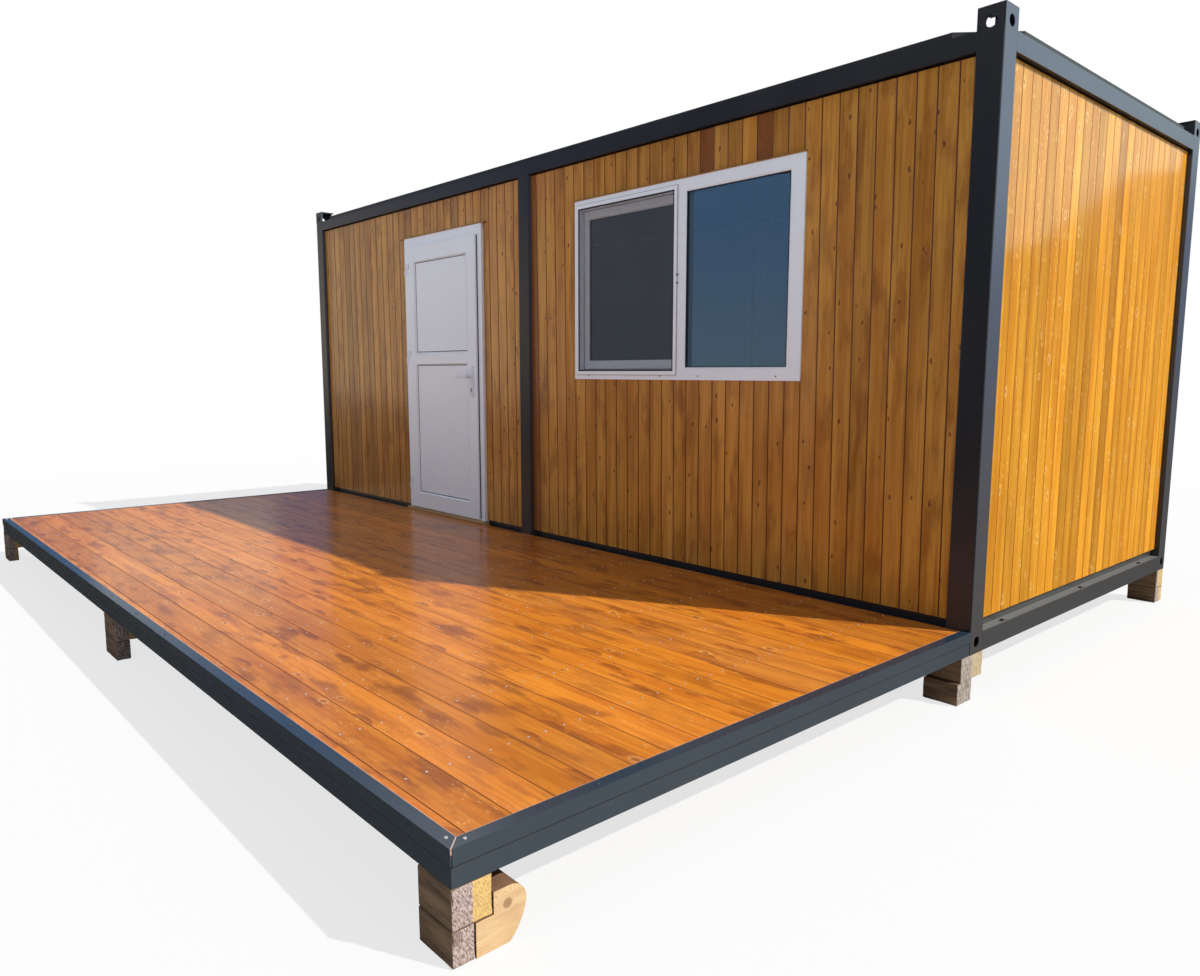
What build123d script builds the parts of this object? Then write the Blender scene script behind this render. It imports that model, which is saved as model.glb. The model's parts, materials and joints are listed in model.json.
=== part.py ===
"""Container cabin with a timber deck: a welded steel frame with lifting lugs, timber-clad insulated walls,
a hinged door, a sliding window and a low deck, all standing on loose timber blocks.

Millimetres. X runs along the length, -Y is the front with the deck, Z is up from the ground.
The origin is on the ground under the middle of the cabin and its deck together.
"""

import os
from math import atan2, degrees

from build123d import *

os.makedirs("parts", exist_ok=True)

# Overall sizes
LENGTH = 6000
CABIN_DEPTH = 2470
DECK_DEPTH = 2480
GROUND_GAP = 195
FRAME_HEIGHT = 2447
LUG_HEIGHT = 83

# Steel frame
POST = 110
POST_WALL = 5
POST_CAP = 6
POST_CORNER_RADIUS = 6
CASTING_HEIGHT = 97
CASTING_WALL = 8
HOLE_RADIUS = 23
LUG_PLATE = 8
LUG_HOLE_DROP = 58
MID_POST_WIDTH = 100
TOP_RAIL_HEIGHT = 75
BOTTOM_RAIL_HEIGHT = 85
UPSTAND_TOP = 140
TOP_RAIL_SKIRT = 22
JOIST_WIDTH = 50
JOIST_PITCH = 590
JOIST_COUNT = 9

# Walls, floor and roof
CLADDING_INSET = 25
CLADDING_THICKNESS = 18
CLADDING_FOOT = 127
CLADDING_HEAD = 2365
CLADDING_GAP = 2
FLOOR_TOP = 105
FLOOR_THICKNESS = 38
ROOF_INSET = 22
ROOF_RIM = 32
ROOF_CORNER_CUT = 198
ROOF_TRAY_DEPTH = 14
ROOF_RIM_WIDTH = 60
ROOF_RIB_FOOT = 60
ROOF_RIB_CREST = 30
ROOF_RIB_COUNT = 22

# Door
DOOR_CENTRE = -990
DOOR_FRAME_WIDTH = 1019
DOOR_FRAME_FOOT = 117
DOOR_FRAME_HEAD = 2145
JAMB_WIDTH = 61
HEAD_DEPTH = 78
SILL_DEPTH = 18
DOOR_FRAME_INSET = 6
DOOR_FRAME_THICKNESS = 73
LEAF_OVERLAP = 9.5
LEAF_OVERLAP_THICKNESS = 13
LEAF_PROUD = 18
LEAF_THICKNESS = 66
LEAF_BODY_GAP = 9
DOOR_PANEL_BORDER = 110
DOOR_PANEL_SINK = 24
DOOR_PANEL_TAPER = 24
DOOR_BEAD = 7
DOOR_BEAD_PROUD = 3
MID_BAR_LOW = 1215
MID_BAR_HIGH = 1290
HINGE_RADIUS = 9
HINGE_PIN_RADIUS = 4
HINGE_PIN_CLEARANCE = 0.06
HINGE_HALF = 45
HINGE_GAP = 1
HINGE_HEIGHTS = (305, 1265, 1915)
HINGE_OFFSET = 10.5
HINGE_LEAF_PLATE = 5
HINGE_LEAF_FLAG = 50
HINGE_FRAME_FLAG = 34
LEVER_HEIGHT = 1119
LEVER_INSET = 52
LOCK_PLATE_WIDTH = 32
LOCK_PLATE_HEIGHT = 214
LOCK_PLATE_THICKNESS = 9
LOCK_PLATE_DROP = 31
KEY_DROP = 85
KEY_RADIUS = 8.5
KEY_PROUD = 3
SPINDLE_RADIUS = 5
SPINDLE_CLEARANCE = 0.3
SPINDLE_BORE_RADIUS = 7
LEVER_GAP = 1
NECK_RADIUS = 9
NECK_LENGTH = 46
LEVER_LENGTH = 122
LEVER_BAR = 19
LEVER_THICKNESS = 13
LEVER_CHAMFER = 3

# Window
WINDOW_CENTRE = 1298
WINDOW_WIDTH = 1628
WINDOW_FOOT = 1112
WINDOW_HEAD = 2147
TRIM_OVERLAP = 12
TRIM_THICKNESS = 8
WINDOW_SIDE = 37
WINDOW_RAIL = 47
WINDOW_DEPTH = 83
SASH_THICKNESS = 28
SASH_GAP = 4
GLASS_THICKNESS = 8
MULLION_WIDTH = 80
RIGHT_SASH_EDGE = 48
RIGHT_SASH_RAIL = 20
LEFT_SASH_STILE = 50
LEFT_SASH_RAIL = 62
GLAZING_BEVEL = 8
TRACK_RIB = 2
TRACK_RIB_HEIGHT = 10
SCREEN_RIM = 20
SCREEN_PROUD = 6

# Timber nosing under the door
NOSING_PROUD = 8
NOSING_DROP = 3
NOSING_LEFT = 30
NOSING_RIGHT = 20

# Deck
DECK_TOP = 98
DECK_BOARD = 22
DECK_BEAM_WIDTH = 50
TRIM_METAL = 3
DECK_TRIM_FLANGE = 40
DECK_TRIM_LEG = 43
MITRE_GAP = 2
DECK_JOIST_LIFT = 10

# Timber blocks
UPPER_BLOCK = 104
BLOCK_LENGTH = 150
MID_BLOCK_LENGTH = 200
BLOCK_WIDTH = 112
NARROW_BLOCK = 62
LOG_GAP = 2
LOG_WIDTH = 145
LOG_HEIGHT = 145
LOG_LENGTH = 170
LOG_ROUND = 50

# Places worked out from the sizes above
X_END = LENGTH / 2
Y_FRONT = (DECK_DEPTH - CABIN_DEPTH) / 2
Y_REAR = Y_FRONT + CABIN_DEPTH
Y_DECK = Y_FRONT - DECK_DEPTH
BASE = GROUND_GAP
RAIL_TOP = BASE + FRAME_HEIGHT
RAIL_FOOT = RAIL_TOP - TOP_RAIL_HEIGHT
LUG_TOP = RAIL_TOP + LUG_HEIGHT
SILL_TOP = BASE + BOTTOM_RAIL_HEIGHT
X_INNER = X_END - POST
Y_FRONT_INNER = Y_FRONT + POST
Y_REAR_INNER = Y_REAR - POST
MID_HALF = MID_POST_WIDTH / 2
CORE_INSET = CLADDING_INSET + CLADDING_THICKNESS
CORNERS = {"front_right": (1, -1), "front_left": (-1, -1), "rear_right": (1, 1), "rear_left": (-1, 1)}

DOOR_LEFT = DOOR_CENTRE - DOOR_FRAME_WIDTH / 2
DOOR_RIGHT = DOOR_CENTRE + DOOR_FRAME_WIDTH / 2
DOOR_FOOT = BASE + DOOR_FRAME_FOOT
DOOR_HEAD = BASE + DOOR_FRAME_HEAD
DOOR_FACE = Y_FRONT + DOOR_FRAME_INSET
DOOR_BACK = DOOR_FACE + DOOR_FRAME_THICKNESS
OPEN_LEFT = DOOR_LEFT + JAMB_WIDTH
OPEN_RIGHT = DOOR_RIGHT - JAMB_WIDTH
OPEN_FOOT = DOOR_FOOT + SILL_DEPTH
OPEN_HEAD = DOOR_HEAD - HEAD_DEPTH
LEAF_FACE = DOOR_FACE - LEAF_PROUD
LEAF_BACK = LEAF_FACE + LEAF_THICKNESS
LEVER_Z = BASE + LEVER_HEIGHT
HINGE_X = OPEN_LEFT - LEAF_OVERLAP - HINGE_OFFSET
HINGE_Y = LEAF_FACE + 4

WINDOW_LEFT = WINDOW_CENTRE - WINDOW_WIDTH / 2
WINDOW_RIGHT = WINDOW_CENTRE + WINDOW_WIDTH / 2
WINDOW_LOW = BASE + WINDOW_FOOT
WINDOW_HIGH = BASE + WINDOW_HEAD
HOLE_X = (WINDOW_LEFT + TRIM_OVERLAP, WINDOW_RIGHT - TRIM_OVERLAP)
HOLE_Z = (WINDOW_LOW + TRIM_OVERLAP, WINDOW_HIGH - TRIM_OVERLAP)
LIGHT_X = (WINDOW_LEFT + WINDOW_SIDE, WINDOW_RIGHT - WINDOW_SIDE)
LIGHT_Z = (WINDOW_LOW + WINDOW_RAIL, WINDOW_HIGH - WINDOW_RAIL)
WINDOW_FACE = Y_FRONT + CLADDING_INSET - TRIM_THICKNESS
FRONT_SASH_Y = WINDOW_FACE
REAR_SASH_Y = FRONT_SASH_Y + SASH_THICKNESS + SASH_GAP

DECK_SURFACE = BASE + DECK_TOP
BOARD_TOP = DECK_SURFACE - TRIM_METAL
BEAM_TOP = BOARD_TOP - DECK_BOARD


def slab(x, y, z):
    """A square-edged solid that spans the given pair of values on each axis."""
    with BuildPart() as piece:
        with BuildSketch(Plane.XY.offset(z[0])):
            with Locations(((x[0] + x[1]) / 2, (y[0] + y[1]) / 2)):
                Rectangle(x[1] - x[0], y[1] - y[0])
        extrude(amount=z[1] - z[0])
    return piece.part


def ring(x, z, hole_x, hole_z, y):
    """A rectangular frame standing across Y, from outer spans and the spans of its hole."""
    with BuildPart() as piece:
        add(slab(x, y, z))
        add(slab(hole_x, (y[0] - 1, y[1] + 1), hole_z), mode=Mode.SUBTRACT)
    return piece.part


def rod(plane, radius, length):
    """A round bar that starts on the plane and runs along its normal."""
    with BuildPart() as piece:
        with BuildSketch(plane):
            Circle(radius)
        extrude(amount=length)
    return piece.part


def span(a, b):
    """The two values in rising order."""
    return (min(a, b), max(a, b))


def save(builder, name):
    """Labels a finished sub-part and writes it as its own file."""
    builder.part.label = name
    export_step(builder.part, f"parts/{name}.step")


def corner_spans(side_x, side_y):
    """The X and Y spans of the post at one corner."""
    y_face = Y_FRONT if side_y < 0 else Y_REAR
    return span(side_x * X_END, side_x * X_INNER), span(y_face, y_face - side_y * POST)


# Corner posts: square tube with softened edges and a closing cap
for corner, (side_x, side_y) in CORNERS.items():
    post_x, post_y = corner_spans(side_x, side_y)
    with BuildPart() as corner_post:
        add(slab(post_x, post_y, (BASE + CASTING_HEIGHT, RAIL_TOP)))
        fillet(corner_post.edges().filter_by(Axis.Z), POST_CORNER_RADIUS)
        bore_x = (post_x[0] + POST_WALL, post_x[1] - POST_WALL)
        bore_y = (post_y[0] + POST_WALL, post_y[1] - POST_WALL)
        add(slab(bore_x, bore_y, (BASE + CASTING_HEIGHT, RAIL_TOP - POST_CAP)), mode=Mode.SUBTRACT)
    save(corner_post, f"corner_post_{corner}")

# Corner castings under the posts: hollow boxes with a round hole in the end face
with BuildPart() as corner_castings:
    for side_x, side_y in CORNERS.values():
        post_x, post_y = corner_spans(side_x, side_y)
        with BuildPart(mode=Mode.PRIVATE) as casting:
            add(slab(post_x, post_y, (BASE, BASE + CASTING_HEIGHT)))
            fillet(casting.edges().filter_by(Axis.Z), POST_CORNER_RADIUS)
            hollow_x = (post_x[0] + CASTING_WALL, post_x[1] - CASTING_WALL)
            hollow_y = (post_y[0] + CASTING_WALL, post_y[1] - CASTING_WALL)
            hollow_z = (BASE + CASTING_WALL, BASE + CASTING_HEIGHT - CASTING_WALL)
            add(slab(hollow_x, hollow_y, hollow_z), mode=Mode.SUBTRACT)
            hole_centre = (side_x * X_END, sum(post_y) / 2, BASE + CASTING_HEIGHT / 2)
            end_face = Plane(hole_centre, z_dir=(-side_x, 0, 0))
            add(rod(end_face, HOLE_RADIUS, POST / 2), mode=Mode.SUBTRACT)
        add(casting.part)
save(corner_castings, "corner_castings")

# Lifting lugs: three plates meeting at the outer corner, open towards the roof, a hole in each upright plate
with BuildPart() as lifting_lugs:
    for side_x, side_y in CORNERS.values():
        post_x, post_y = corner_spans(side_x, side_y)
        y_face = Y_FRONT if side_y < 0 else Y_REAR
        hole_z = LUG_TOP - LUG_HOLE_DROP
        with BuildPart(mode=Mode.PRIVATE) as lug:
            add(slab(post_x, post_y, (RAIL_TOP, LUG_TOP)))
            open_x = span(side_x * (X_END - LUG_PLATE), side_x * (X_INNER - 1))
            open_y = span(y_face - side_y * LUG_PLATE, y_face - side_y * (POST + 1))
            add(slab(open_x, open_y, (RAIL_TOP - 1, LUG_TOP - LUG_PLATE)), mode=Mode.SUBTRACT)
            end_plate = Plane((side_x * X_END, sum(post_y) / 2, hole_z), z_dir=(-side_x, 0, 0))
            side_plate = Plane((sum(post_x) / 2, y_face, hole_z), z_dir=(0, -side_y, 0))
            add(rod(end_plate, HOLE_RADIUS, 2 * LUG_PLATE), mode=Mode.SUBTRACT)
            add(rod(side_plate, HOLE_RADIUS, 2 * LUG_PLATE), mode=Mode.SUBTRACT)
        add(lug.part)
save(lifting_lugs, "lifting_lugs")

# Mid posts, front and rear
with BuildPart() as mid_posts:
    for y_face, y_inner in ((Y_FRONT, Y_FRONT_INNER), (Y_REAR, Y_REAR_INNER)):
        add(slab((-MID_HALF, MID_HALF), span(y_face, y_inner), (SILL_TOP, RAIL_FOOT)))
save(mid_posts, "mid_posts")


def long_rail(side_y, z, step_z, step_runs):
    """A rebated rail along the length: an outer ledge, and a step behind the cladding in each run given."""
    y_face = Y_FRONT if side_y < 0 else Y_REAR
    step_y = span(y_face - side_y * CORE_INSET, y_face - side_y * POST)
    with BuildPart() as rail:
        add(slab((-X_INNER, X_INNER), span(y_face, y_face - side_y * POST), z))
        for run in step_runs:
            add(slab(run, step_y, step_z))
    return rail.part


def end_rail(side_x, z, step_z):
    """A rebated rail across one end, with its step behind the end cladding."""
    with BuildPart() as rail:
        add(slab(span(side_x * X_END, side_x * X_INNER), (Y_FRONT_INNER, Y_REAR_INNER), z))
        step_x = span(side_x * (X_END - CORE_INSET), side_x * X_INNER)
        add(slab(step_x, (Y_FRONT_INNER, Y_REAR_INNER), step_z))
    return rail.part


FULL_BAYS = ((-X_INNER, -MID_HALF), (MID_HALF, X_INNER))
DOOR_BAYS = ((-X_INNER, DOOR_LEFT), (DOOR_RIGHT, -MID_HALF), (MID_HALF, X_INNER))

UPSTAND_Z = (SILL_TOP, BASE + UPSTAND_TOP)
SKIRT_Z = (RAIL_FOOT - TOP_RAIL_SKIRT, RAIL_FOOT)

with BuildPart() as bottom_rails_long:
    add(long_rail(-1, (BASE, SILL_TOP), UPSTAND_Z, DOOR_BAYS))
    add(long_rail(1, (BASE, SILL_TOP), UPSTAND_Z, FULL_BAYS))
save(bottom_rails_long, "bottom_rails_long")

with BuildPart() as bottom_rails_end:
    for side_x in (-1, 1):
        add(end_rail(side_x, (BASE, SILL_TOP), UPSTAND_Z))
save(bottom_rails_end, "bottom_rails_end")

with BuildPart() as top_rails_long:
    for side_y in (-1, 1):
        add(long_rail(side_y, (RAIL_FOOT, RAIL_TOP), SKIRT_Z, FULL_BAYS))
save(top_rails_long, "top_rails_long")

with BuildPart() as top_rails_end:
    for side_x in (-1, 1):
        add(end_rail(side_x, (RAIL_FOOT, RAIL_TOP), SKIRT_Z))
save(top_rails_end, "top_rails_end")

# Floor: joists between the long rails, with a panel on them
joist_places = [JOIST_PITCH * (i - (JOIST_COUNT - 1) / 2) for i in range(JOIST_COUNT)]
with BuildPart() as floor_joists:
    for place in joist_places:
        joist_x = (place - JOIST_WIDTH / 2, place + JOIST_WIDTH / 2)
        add(slab(joist_x, (Y_FRONT_INNER, Y_REAR_INNER), (BASE, BASE + FLOOR_TOP - FLOOR_THICKNESS)))
save(floor_joists, "floor_joists")

with BuildPart() as floor_panel:
    floor_z = (BASE + FLOOR_TOP - FLOOR_THICKNESS, BASE + FLOOR_TOP)
    add(slab((-X_INNER, X_INNER), (Y_FRONT_INNER, Y_REAR_INNER), floor_z))
save(floor_panel, "floor_panel")

# Ceiling panel between the roof rails
with BuildPart() as ceiling_panel:
    add(slab((-X_INNER, X_INNER), (Y_FRONT_INNER, Y_REAR_INNER), (RAIL_FOOT, RAIL_TOP)))
save(ceiling_panel, "ceiling_panel")

# Roof cover: a folded sheet with a raised rim, corners cut back from the lugs, and ribs across the tray
ROOF_X = X_END - ROOF_INSET
ROOF_DEPTH = CABIN_DEPTH - 2 * ROOF_INSET
ROOF_MIDDLE = (Y_FRONT + Y_REAR) / 2
ROOF_TOP = RAIL_TOP + ROOF_RIM
with BuildPart() as roof_cover:
    with BuildSketch(Plane.XY.offset(RAIL_TOP)) as outline:
        with Locations((0, ROOF_MIDDLE)):
            Rectangle(2 * ROOF_X, ROOF_DEPTH)
        chamfer(outline.vertices(), ROOF_CORNER_CUT)
    extrude(amount=ROOF_RIM)
    with BuildSketch(Plane.XY.offset(ROOF_TOP)) as tray:
        with Locations((0, ROOF_MIDDLE)):
            Rectangle(2 * ROOF_X, ROOF_DEPTH)
        chamfer(tray.vertices(), ROOF_CORNER_CUT)
        offset(amount=-ROOF_RIM_WIDTH, kind=Kind.INTERSECTION)
    extrude(amount=-ROOF_TRAY_DEPTH, mode=Mode.SUBTRACT)
    rib_run = ROOF_DEPTH - 2 * ROOF_RIM_WIDTH
    rib_pitch = 2 * (ROOF_X - ROOF_CORNER_CUT) / (ROOF_RIB_COUNT - 1)
    rib_places = [rib_pitch * (i - (ROOF_RIB_COUNT - 1) / 2) for i in range(ROOF_RIB_COUNT)]
    rib_slope = degrees(atan2(ROOF_TRAY_DEPTH, (ROOF_RIB_FOOT - ROOF_RIB_CREST) / 2))
    with BuildSketch(Plane.XZ.offset(-(ROOF_MIDDLE + rib_run / 2))):
        with Locations(*[(place, ROOF_TOP - ROOF_TRAY_DEPTH) for place in rib_places]):
            Trapezoid(ROOF_RIB_FOOT, ROOF_TRAY_DEPTH, rib_slope, align=(Align.CENTER, Align.MIN))
    extrude(amount=rib_run)
save(roof_cover, "roof_cover")

# Insulated wall panels, split around the doorway and the window
FRONT_CORE = (Y_FRONT + CORE_INSET, Y_FRONT_INNER)
REAR_CORE = (Y_REAR_INNER, Y_REAR - CORE_INSET)
WALL_Z = (UPSTAND_Z[1], SKIRT_Z[0])
FRONT_WALLS = {
    "front_wall_left_of_door": ((-X_INNER, DOOR_LEFT), WALL_Z),
    "front_wall_right_of_door": ((DOOR_RIGHT, -MID_HALF), WALL_Z),
    "front_wall_over_door": ((DOOR_LEFT, DOOR_RIGHT), (DOOR_HEAD, WALL_Z[1])),
    "front_wall_left_of_window": ((MID_HALF, HOLE_X[0]), WALL_Z),
    "front_wall_right_of_window": ((HOLE_X[1], X_INNER), WALL_Z),
    "front_wall_below_window": (HOLE_X, (WALL_Z[0], HOLE_Z[0])),
    "front_wall_over_window": (HOLE_X, (HOLE_Z[1], WALL_Z[1])),
}
for name, (wall_x, wall_z) in FRONT_WALLS.items():
    with BuildPart() as wall:
        add(slab(wall_x, FRONT_CORE, wall_z))
    save(wall, name)

with BuildPart() as rear_wall:
    for bay in FULL_BAYS:
        add(slab(bay, REAR_CORE, WALL_Z))
save(rear_wall, "rear_wall")

for side, side_x in (("left", -1), ("right", 1)):
    with BuildPart() as end_wall:
        core_x = span(side_x * (X_END - CORE_INSET), side_x * X_INNER)
        add(slab(core_x, (Y_FRONT_INNER, Y_REAR_INNER), WALL_Z))
    save(end_wall, f"end_wall_{side}")

# Board cladding on the outside of the panels
FRONT_BOARDS = (Y_FRONT + CLADDING_INSET, Y_FRONT + CORE_INSET)
REAR_BOARDS = (Y_REAR - CORE_INSET, Y_REAR - CLADDING_INSET)
BOARD_Z = (BASE + CLADDING_FOOT, BASE + CLADDING_HEAD)
BAY_X = (MID_HALF + CLADDING_GAP, X_INNER - CLADDING_GAP)
with BuildPart() as front_cladding:
    add(slab((-BAY_X[1], -BAY_X[0]), FRONT_BOARDS, BOARD_Z))
    add(slab(BAY_X, FRONT_BOARDS, BOARD_Z))
    door_notch_x = (DOOR_LEFT - CLADDING_GAP, DOOR_RIGHT + CLADDING_GAP)
    add(slab(door_notch_x, FRONT_BOARDS, (BASE, DOOR_HEAD + CLADDING_GAP)), mode=Mode.SUBTRACT)
    add(slab(HOLE_X, FRONT_BOARDS, HOLE_Z), mode=Mode.SUBTRACT)
save(front_cladding, "front_cladding")

with BuildPart() as rear_cladding:
    add(slab((-BAY_X[1], -BAY_X[0]), REAR_BOARDS, BOARD_Z))
    add(slab(BAY_X, REAR_BOARDS, BOARD_Z))
save(rear_cladding, "rear_cladding")

with BuildPart() as end_cladding:
    for side_x in (-1, 1):
        boards_x = span(side_x * (X_END - CORE_INSET), side_x * (X_END - CLADDING_INSET))
        boards_y = (Y_FRONT_INNER + CLADDING_GAP, Y_REAR_INNER - CLADDING_GAP)
        add(slab(boards_x, boards_y, BOARD_Z))
save(end_cladding, "end_cladding")

# Sliding window: casing with its cover flange and track ribs, two sashes, the panes and the fly screen's rim
with BuildPart() as window_frame:
    casing_y = (WINDOW_FACE + TRIM_THICKNESS, WINDOW_FACE + WINDOW_DEPTH)
    add(ring(HOLE_X, HOLE_Z, LIGHT_X, LIGHT_Z, casing_y))
    flange_y = (WINDOW_FACE, WINDOW_FACE + TRIM_THICKNESS)
    add(ring((WINDOW_LEFT, WINDOW_RIGHT), (WINDOW_LOW, WINDOW_HIGH), LIGHT_X, LIGHT_Z, flange_y))
    rib_middle = (FRONT_SASH_Y + SASH_THICKNESS + REAR_SASH_Y) / 2
    rib_y = (rib_middle - TRACK_RIB / 2, rib_middle + TRACK_RIB / 2)
    rib_hole_x = (LIGHT_X[0] + TRACK_RIB_HEIGHT, LIGHT_X[1] - TRACK_RIB_HEIGHT)
    rib_hole_z = (LIGHT_Z[0] + TRACK_RIB_HEIGHT, LIGHT_Z[1] - TRACK_RIB_HEIGHT)
    add(ring(LIGHT_X, LIGHT_Z, rib_hole_x, rib_hole_z, rib_y))
save(window_frame, "window_frame")

RIGHT_SASH_X = (WINDOW_CENTRE, LIGHT_X[1])
LEFT_SASH_X = (LIGHT_X[0], WINDOW_CENTRE + MULLION_WIDTH)
RIGHT_GLASS_X = (WINDOW_CENTRE + MULLION_WIDTH, LIGHT_X[1] - RIGHT_SASH_EDGE)
RIGHT_GLASS_Z = (LIGHT_Z[0] + RIGHT_SASH_RAIL, LIGHT_Z[1] - RIGHT_SASH_RAIL)
LEFT_GLASS_X = (LIGHT_X[0] + LEFT_SASH_STILE, WINDOW_CENTRE + MULLION_WIDTH - LEFT_SASH_STILE)
LEFT_GLASS_Z = (LIGHT_Z[0] + LEFT_SASH_RAIL, LIGHT_Z[1] - LEFT_SASH_RAIL)


def sash(x, z, glass_x, glass_z, track):
    """A sash frame with a bevelled bead round the glass on its outer face."""
    with BuildPart() as frame:
        add(ring(x, z, glass_x, glass_z, (track, track + SASH_THICKNESS)))
        chamfer(frame.faces().sort_by(Axis.Y)[0].inner_wires()[0].edges(), GLAZING_BEVEL)
    return frame.part


with BuildPart() as window_sashes:
    add(sash(RIGHT_SASH_X, LIGHT_Z, RIGHT_GLASS_X, RIGHT_GLASS_Z, FRONT_SASH_Y))
    add(sash(LEFT_SASH_X, LIGHT_Z, LEFT_GLASS_X, LEFT_GLASS_Z, REAR_SASH_Y))
save(window_sashes, "window_sashes")

with BuildPart() as window_glass:
    for pane_x, pane_z, track in (
        (RIGHT_GLASS_X, RIGHT_GLASS_Z, FRONT_SASH_Y),
        (LEFT_GLASS_X, LEFT_GLASS_Z, REAR_SASH_Y),
    ):
        pane_y = track + (SASH_THICKNESS - GLASS_THICKNESS) / 2
        add(slab(pane_x, (pane_y, pane_y + GLASS_THICKNESS), pane_z))
save(window_glass, "window_glass")

with BuildPart() as screen_rim:
    screen_x = (LIGHT_X[0] - SCREEN_RIM, WINDOW_CENTRE + SCREEN_RIM)
    screen_z = (LIGHT_Z[0] - SCREEN_RIM, LIGHT_Z[1] + SCREEN_RIM)
    screen_y = (WINDOW_FACE - SCREEN_PROUD, WINDOW_FACE)
    add(ring(screen_x, screen_z, (LIGHT_X[0], WINDOW_CENTRE), LIGHT_Z, screen_y))
save(screen_rim, "screen_rim")

# Door frame and the timber batten that packs it up off the steel
with BuildPart() as door_frame:
    frame_x = (DOOR_LEFT, DOOR_RIGHT)
    frame_z = (DOOR_FOOT, DOOR_HEAD)
    add(ring(frame_x, frame_z, (OPEN_LEFT, OPEN_RIGHT), (OPEN_FOOT, OPEN_HEAD), (DOOR_FACE, DOOR_BACK)))
save(door_frame, "door_frame")

with BuildPart() as door_sill_batten:
    add(slab((DOOR_LEFT, DOOR_RIGHT), (Y_FRONT, DOOR_BACK), (SILL_TOP, DOOR_FOOT)))
    nosing_x = (DOOR_LEFT - NOSING_LEFT, DOOR_RIGHT - NOSING_RIGHT)
    add(slab(nosing_x, (Y_FRONT - NOSING_PROUD, Y_FRONT), (BASE + DECK_TOP, DOOR_FOOT - NOSING_DROP)))
save(door_sill_batten, "door_sill_batten")

# Door leaf: an overlapping outer flange, a body inside the frame, two sunk and beaded panels on each face
LEAF_X = (OPEN_LEFT - LEAF_OVERLAP, OPEN_RIGHT + LEAF_OVERLAP)
LEAF_Z = (OPEN_FOOT - LEAF_OVERLAP, OPEN_HEAD + LEAF_OVERLAP)
BODY_X = (OPEN_LEFT + LEAF_BODY_GAP, OPEN_RIGHT - LEAF_BODY_GAP)
BODY_Z = (OPEN_FOOT + LEAF_BODY_GAP, OPEN_HEAD - LEAF_BODY_GAP)
PANEL_WIDTH = LEAF_X[1] - LEAF_X[0] - 2 * DOOR_PANEL_BORDER
PANEL_Z = (
    (LEAF_Z[0] + DOOR_PANEL_BORDER, BASE + MID_BAR_LOW),
    (BASE + MID_BAR_HIGH, LEAF_Z[1] - DOOR_PANEL_BORDER),
)
PANEL_X = (DOOR_CENTRE - PANEL_WIDTH / 2, DOOR_CENTRE + PANEL_WIDTH / 2)
BEAD_X = (PANEL_X[0] - DOOR_BEAD, PANEL_X[1] + DOOR_BEAD)
LEVER_X = LEAF_X[1] - LEVER_INSET
with BuildPart() as door_leaf:
    add(slab(LEAF_X, (LEAF_FACE, LEAF_FACE + LEAF_OVERLAP_THICKNESS), LEAF_Z))
    add(slab(BODY_X, (LEAF_FACE + LEAF_OVERLAP_THICKNESS, LEAF_BACK), BODY_Z))
    for face_y, floor_y, bead_top in (
        (LEAF_FACE, LEAF_FACE + DOOR_PANEL_SINK, LEAF_FACE - DOOR_BEAD_PROUD),
        (LEAF_BACK, LEAF_BACK - DOOR_PANEL_SINK, LEAF_BACK + DOOR_BEAD_PROUD),
    ):
        for low, high in PANEL_Z:
            centre = (DOOR_CENTRE, (low + high) / 2)
            bead_z = (low - DOOR_BEAD, high + DOOR_BEAD)
            add(ring(BEAD_X, bead_z, PANEL_X, (low, high), span(face_y, bead_top)))
            with BuildSketch(Plane.XZ.offset(-face_y)):
                with Locations(centre):
                    Rectangle(PANEL_WIDTH, high - low)
            with BuildSketch(Plane.XZ.offset(-floor_y)):
                with Locations(centre):
                    Rectangle(PANEL_WIDTH - 2 * DOOR_PANEL_TAPER, high - low - 2 * DOOR_PANEL_TAPER)
            loft(mode=Mode.SUBTRACT)
    with BuildSketch(Plane.XZ.offset(-LEAF_BACK)):
        with Locations((LEVER_X, LEVER_Z)):
            Circle(SPINDLE_BORE_RADIUS)
    extrude(amount=LEAF_THICKNESS, mode=Mode.SUBTRACT)
save(door_leaf, "door_leaf")

# Hinges: pins and lower knuckles on the frame, upper knuckles on the leaf
with BuildPart() as hinge_pins:
    for height in HINGE_HEIGHTS:
        centre_z = BASE + height
        foot = Plane.XY.offset(centre_z - HINGE_HALF).shift_origin((HINGE_X, HINGE_Y, centre_z - HINGE_HALF))
        add(rod(foot, HINGE_RADIUS, HINGE_HALF - HINGE_GAP))
        add(rod(foot, HINGE_PIN_RADIUS, 2 * HINGE_HALF - HINGE_GAP))
        flag_x = (HINGE_X - HINGE_FRAME_FLAG, HINGE_X)
        flag_y = (DOOR_FACE - HINGE_RADIUS, DOOR_FACE)
        add(slab(flag_x, flag_y, (centre_z - HINGE_HALF, centre_z - HINGE_GAP)))
save(hinge_pins, "hinge_pins")

with BuildPart() as hinge_knuckles:
    for height in HINGE_HEIGHTS:
        centre_z = BASE + height
        foot = Plane((HINGE_X, HINGE_Y, centre_z + HINGE_GAP))
        knuckle_z = (centre_z + HINGE_GAP, centre_z + HINGE_HALF)
        add(rod(foot, HINGE_RADIUS, HINGE_HALF - HINGE_GAP))
        add(slab((HINGE_X, HINGE_X + HINGE_LEAF_FLAG), (LEAF_FACE - HINGE_LEAF_PLATE, LEAF_FACE), knuckle_z))
        add(rod(foot, HINGE_PIN_RADIUS + HINGE_PIN_CLEARANCE, HINGE_HALF), mode=Mode.SUBTRACT)
save(hinge_knuckles, "hinge_knuckles")

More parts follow.
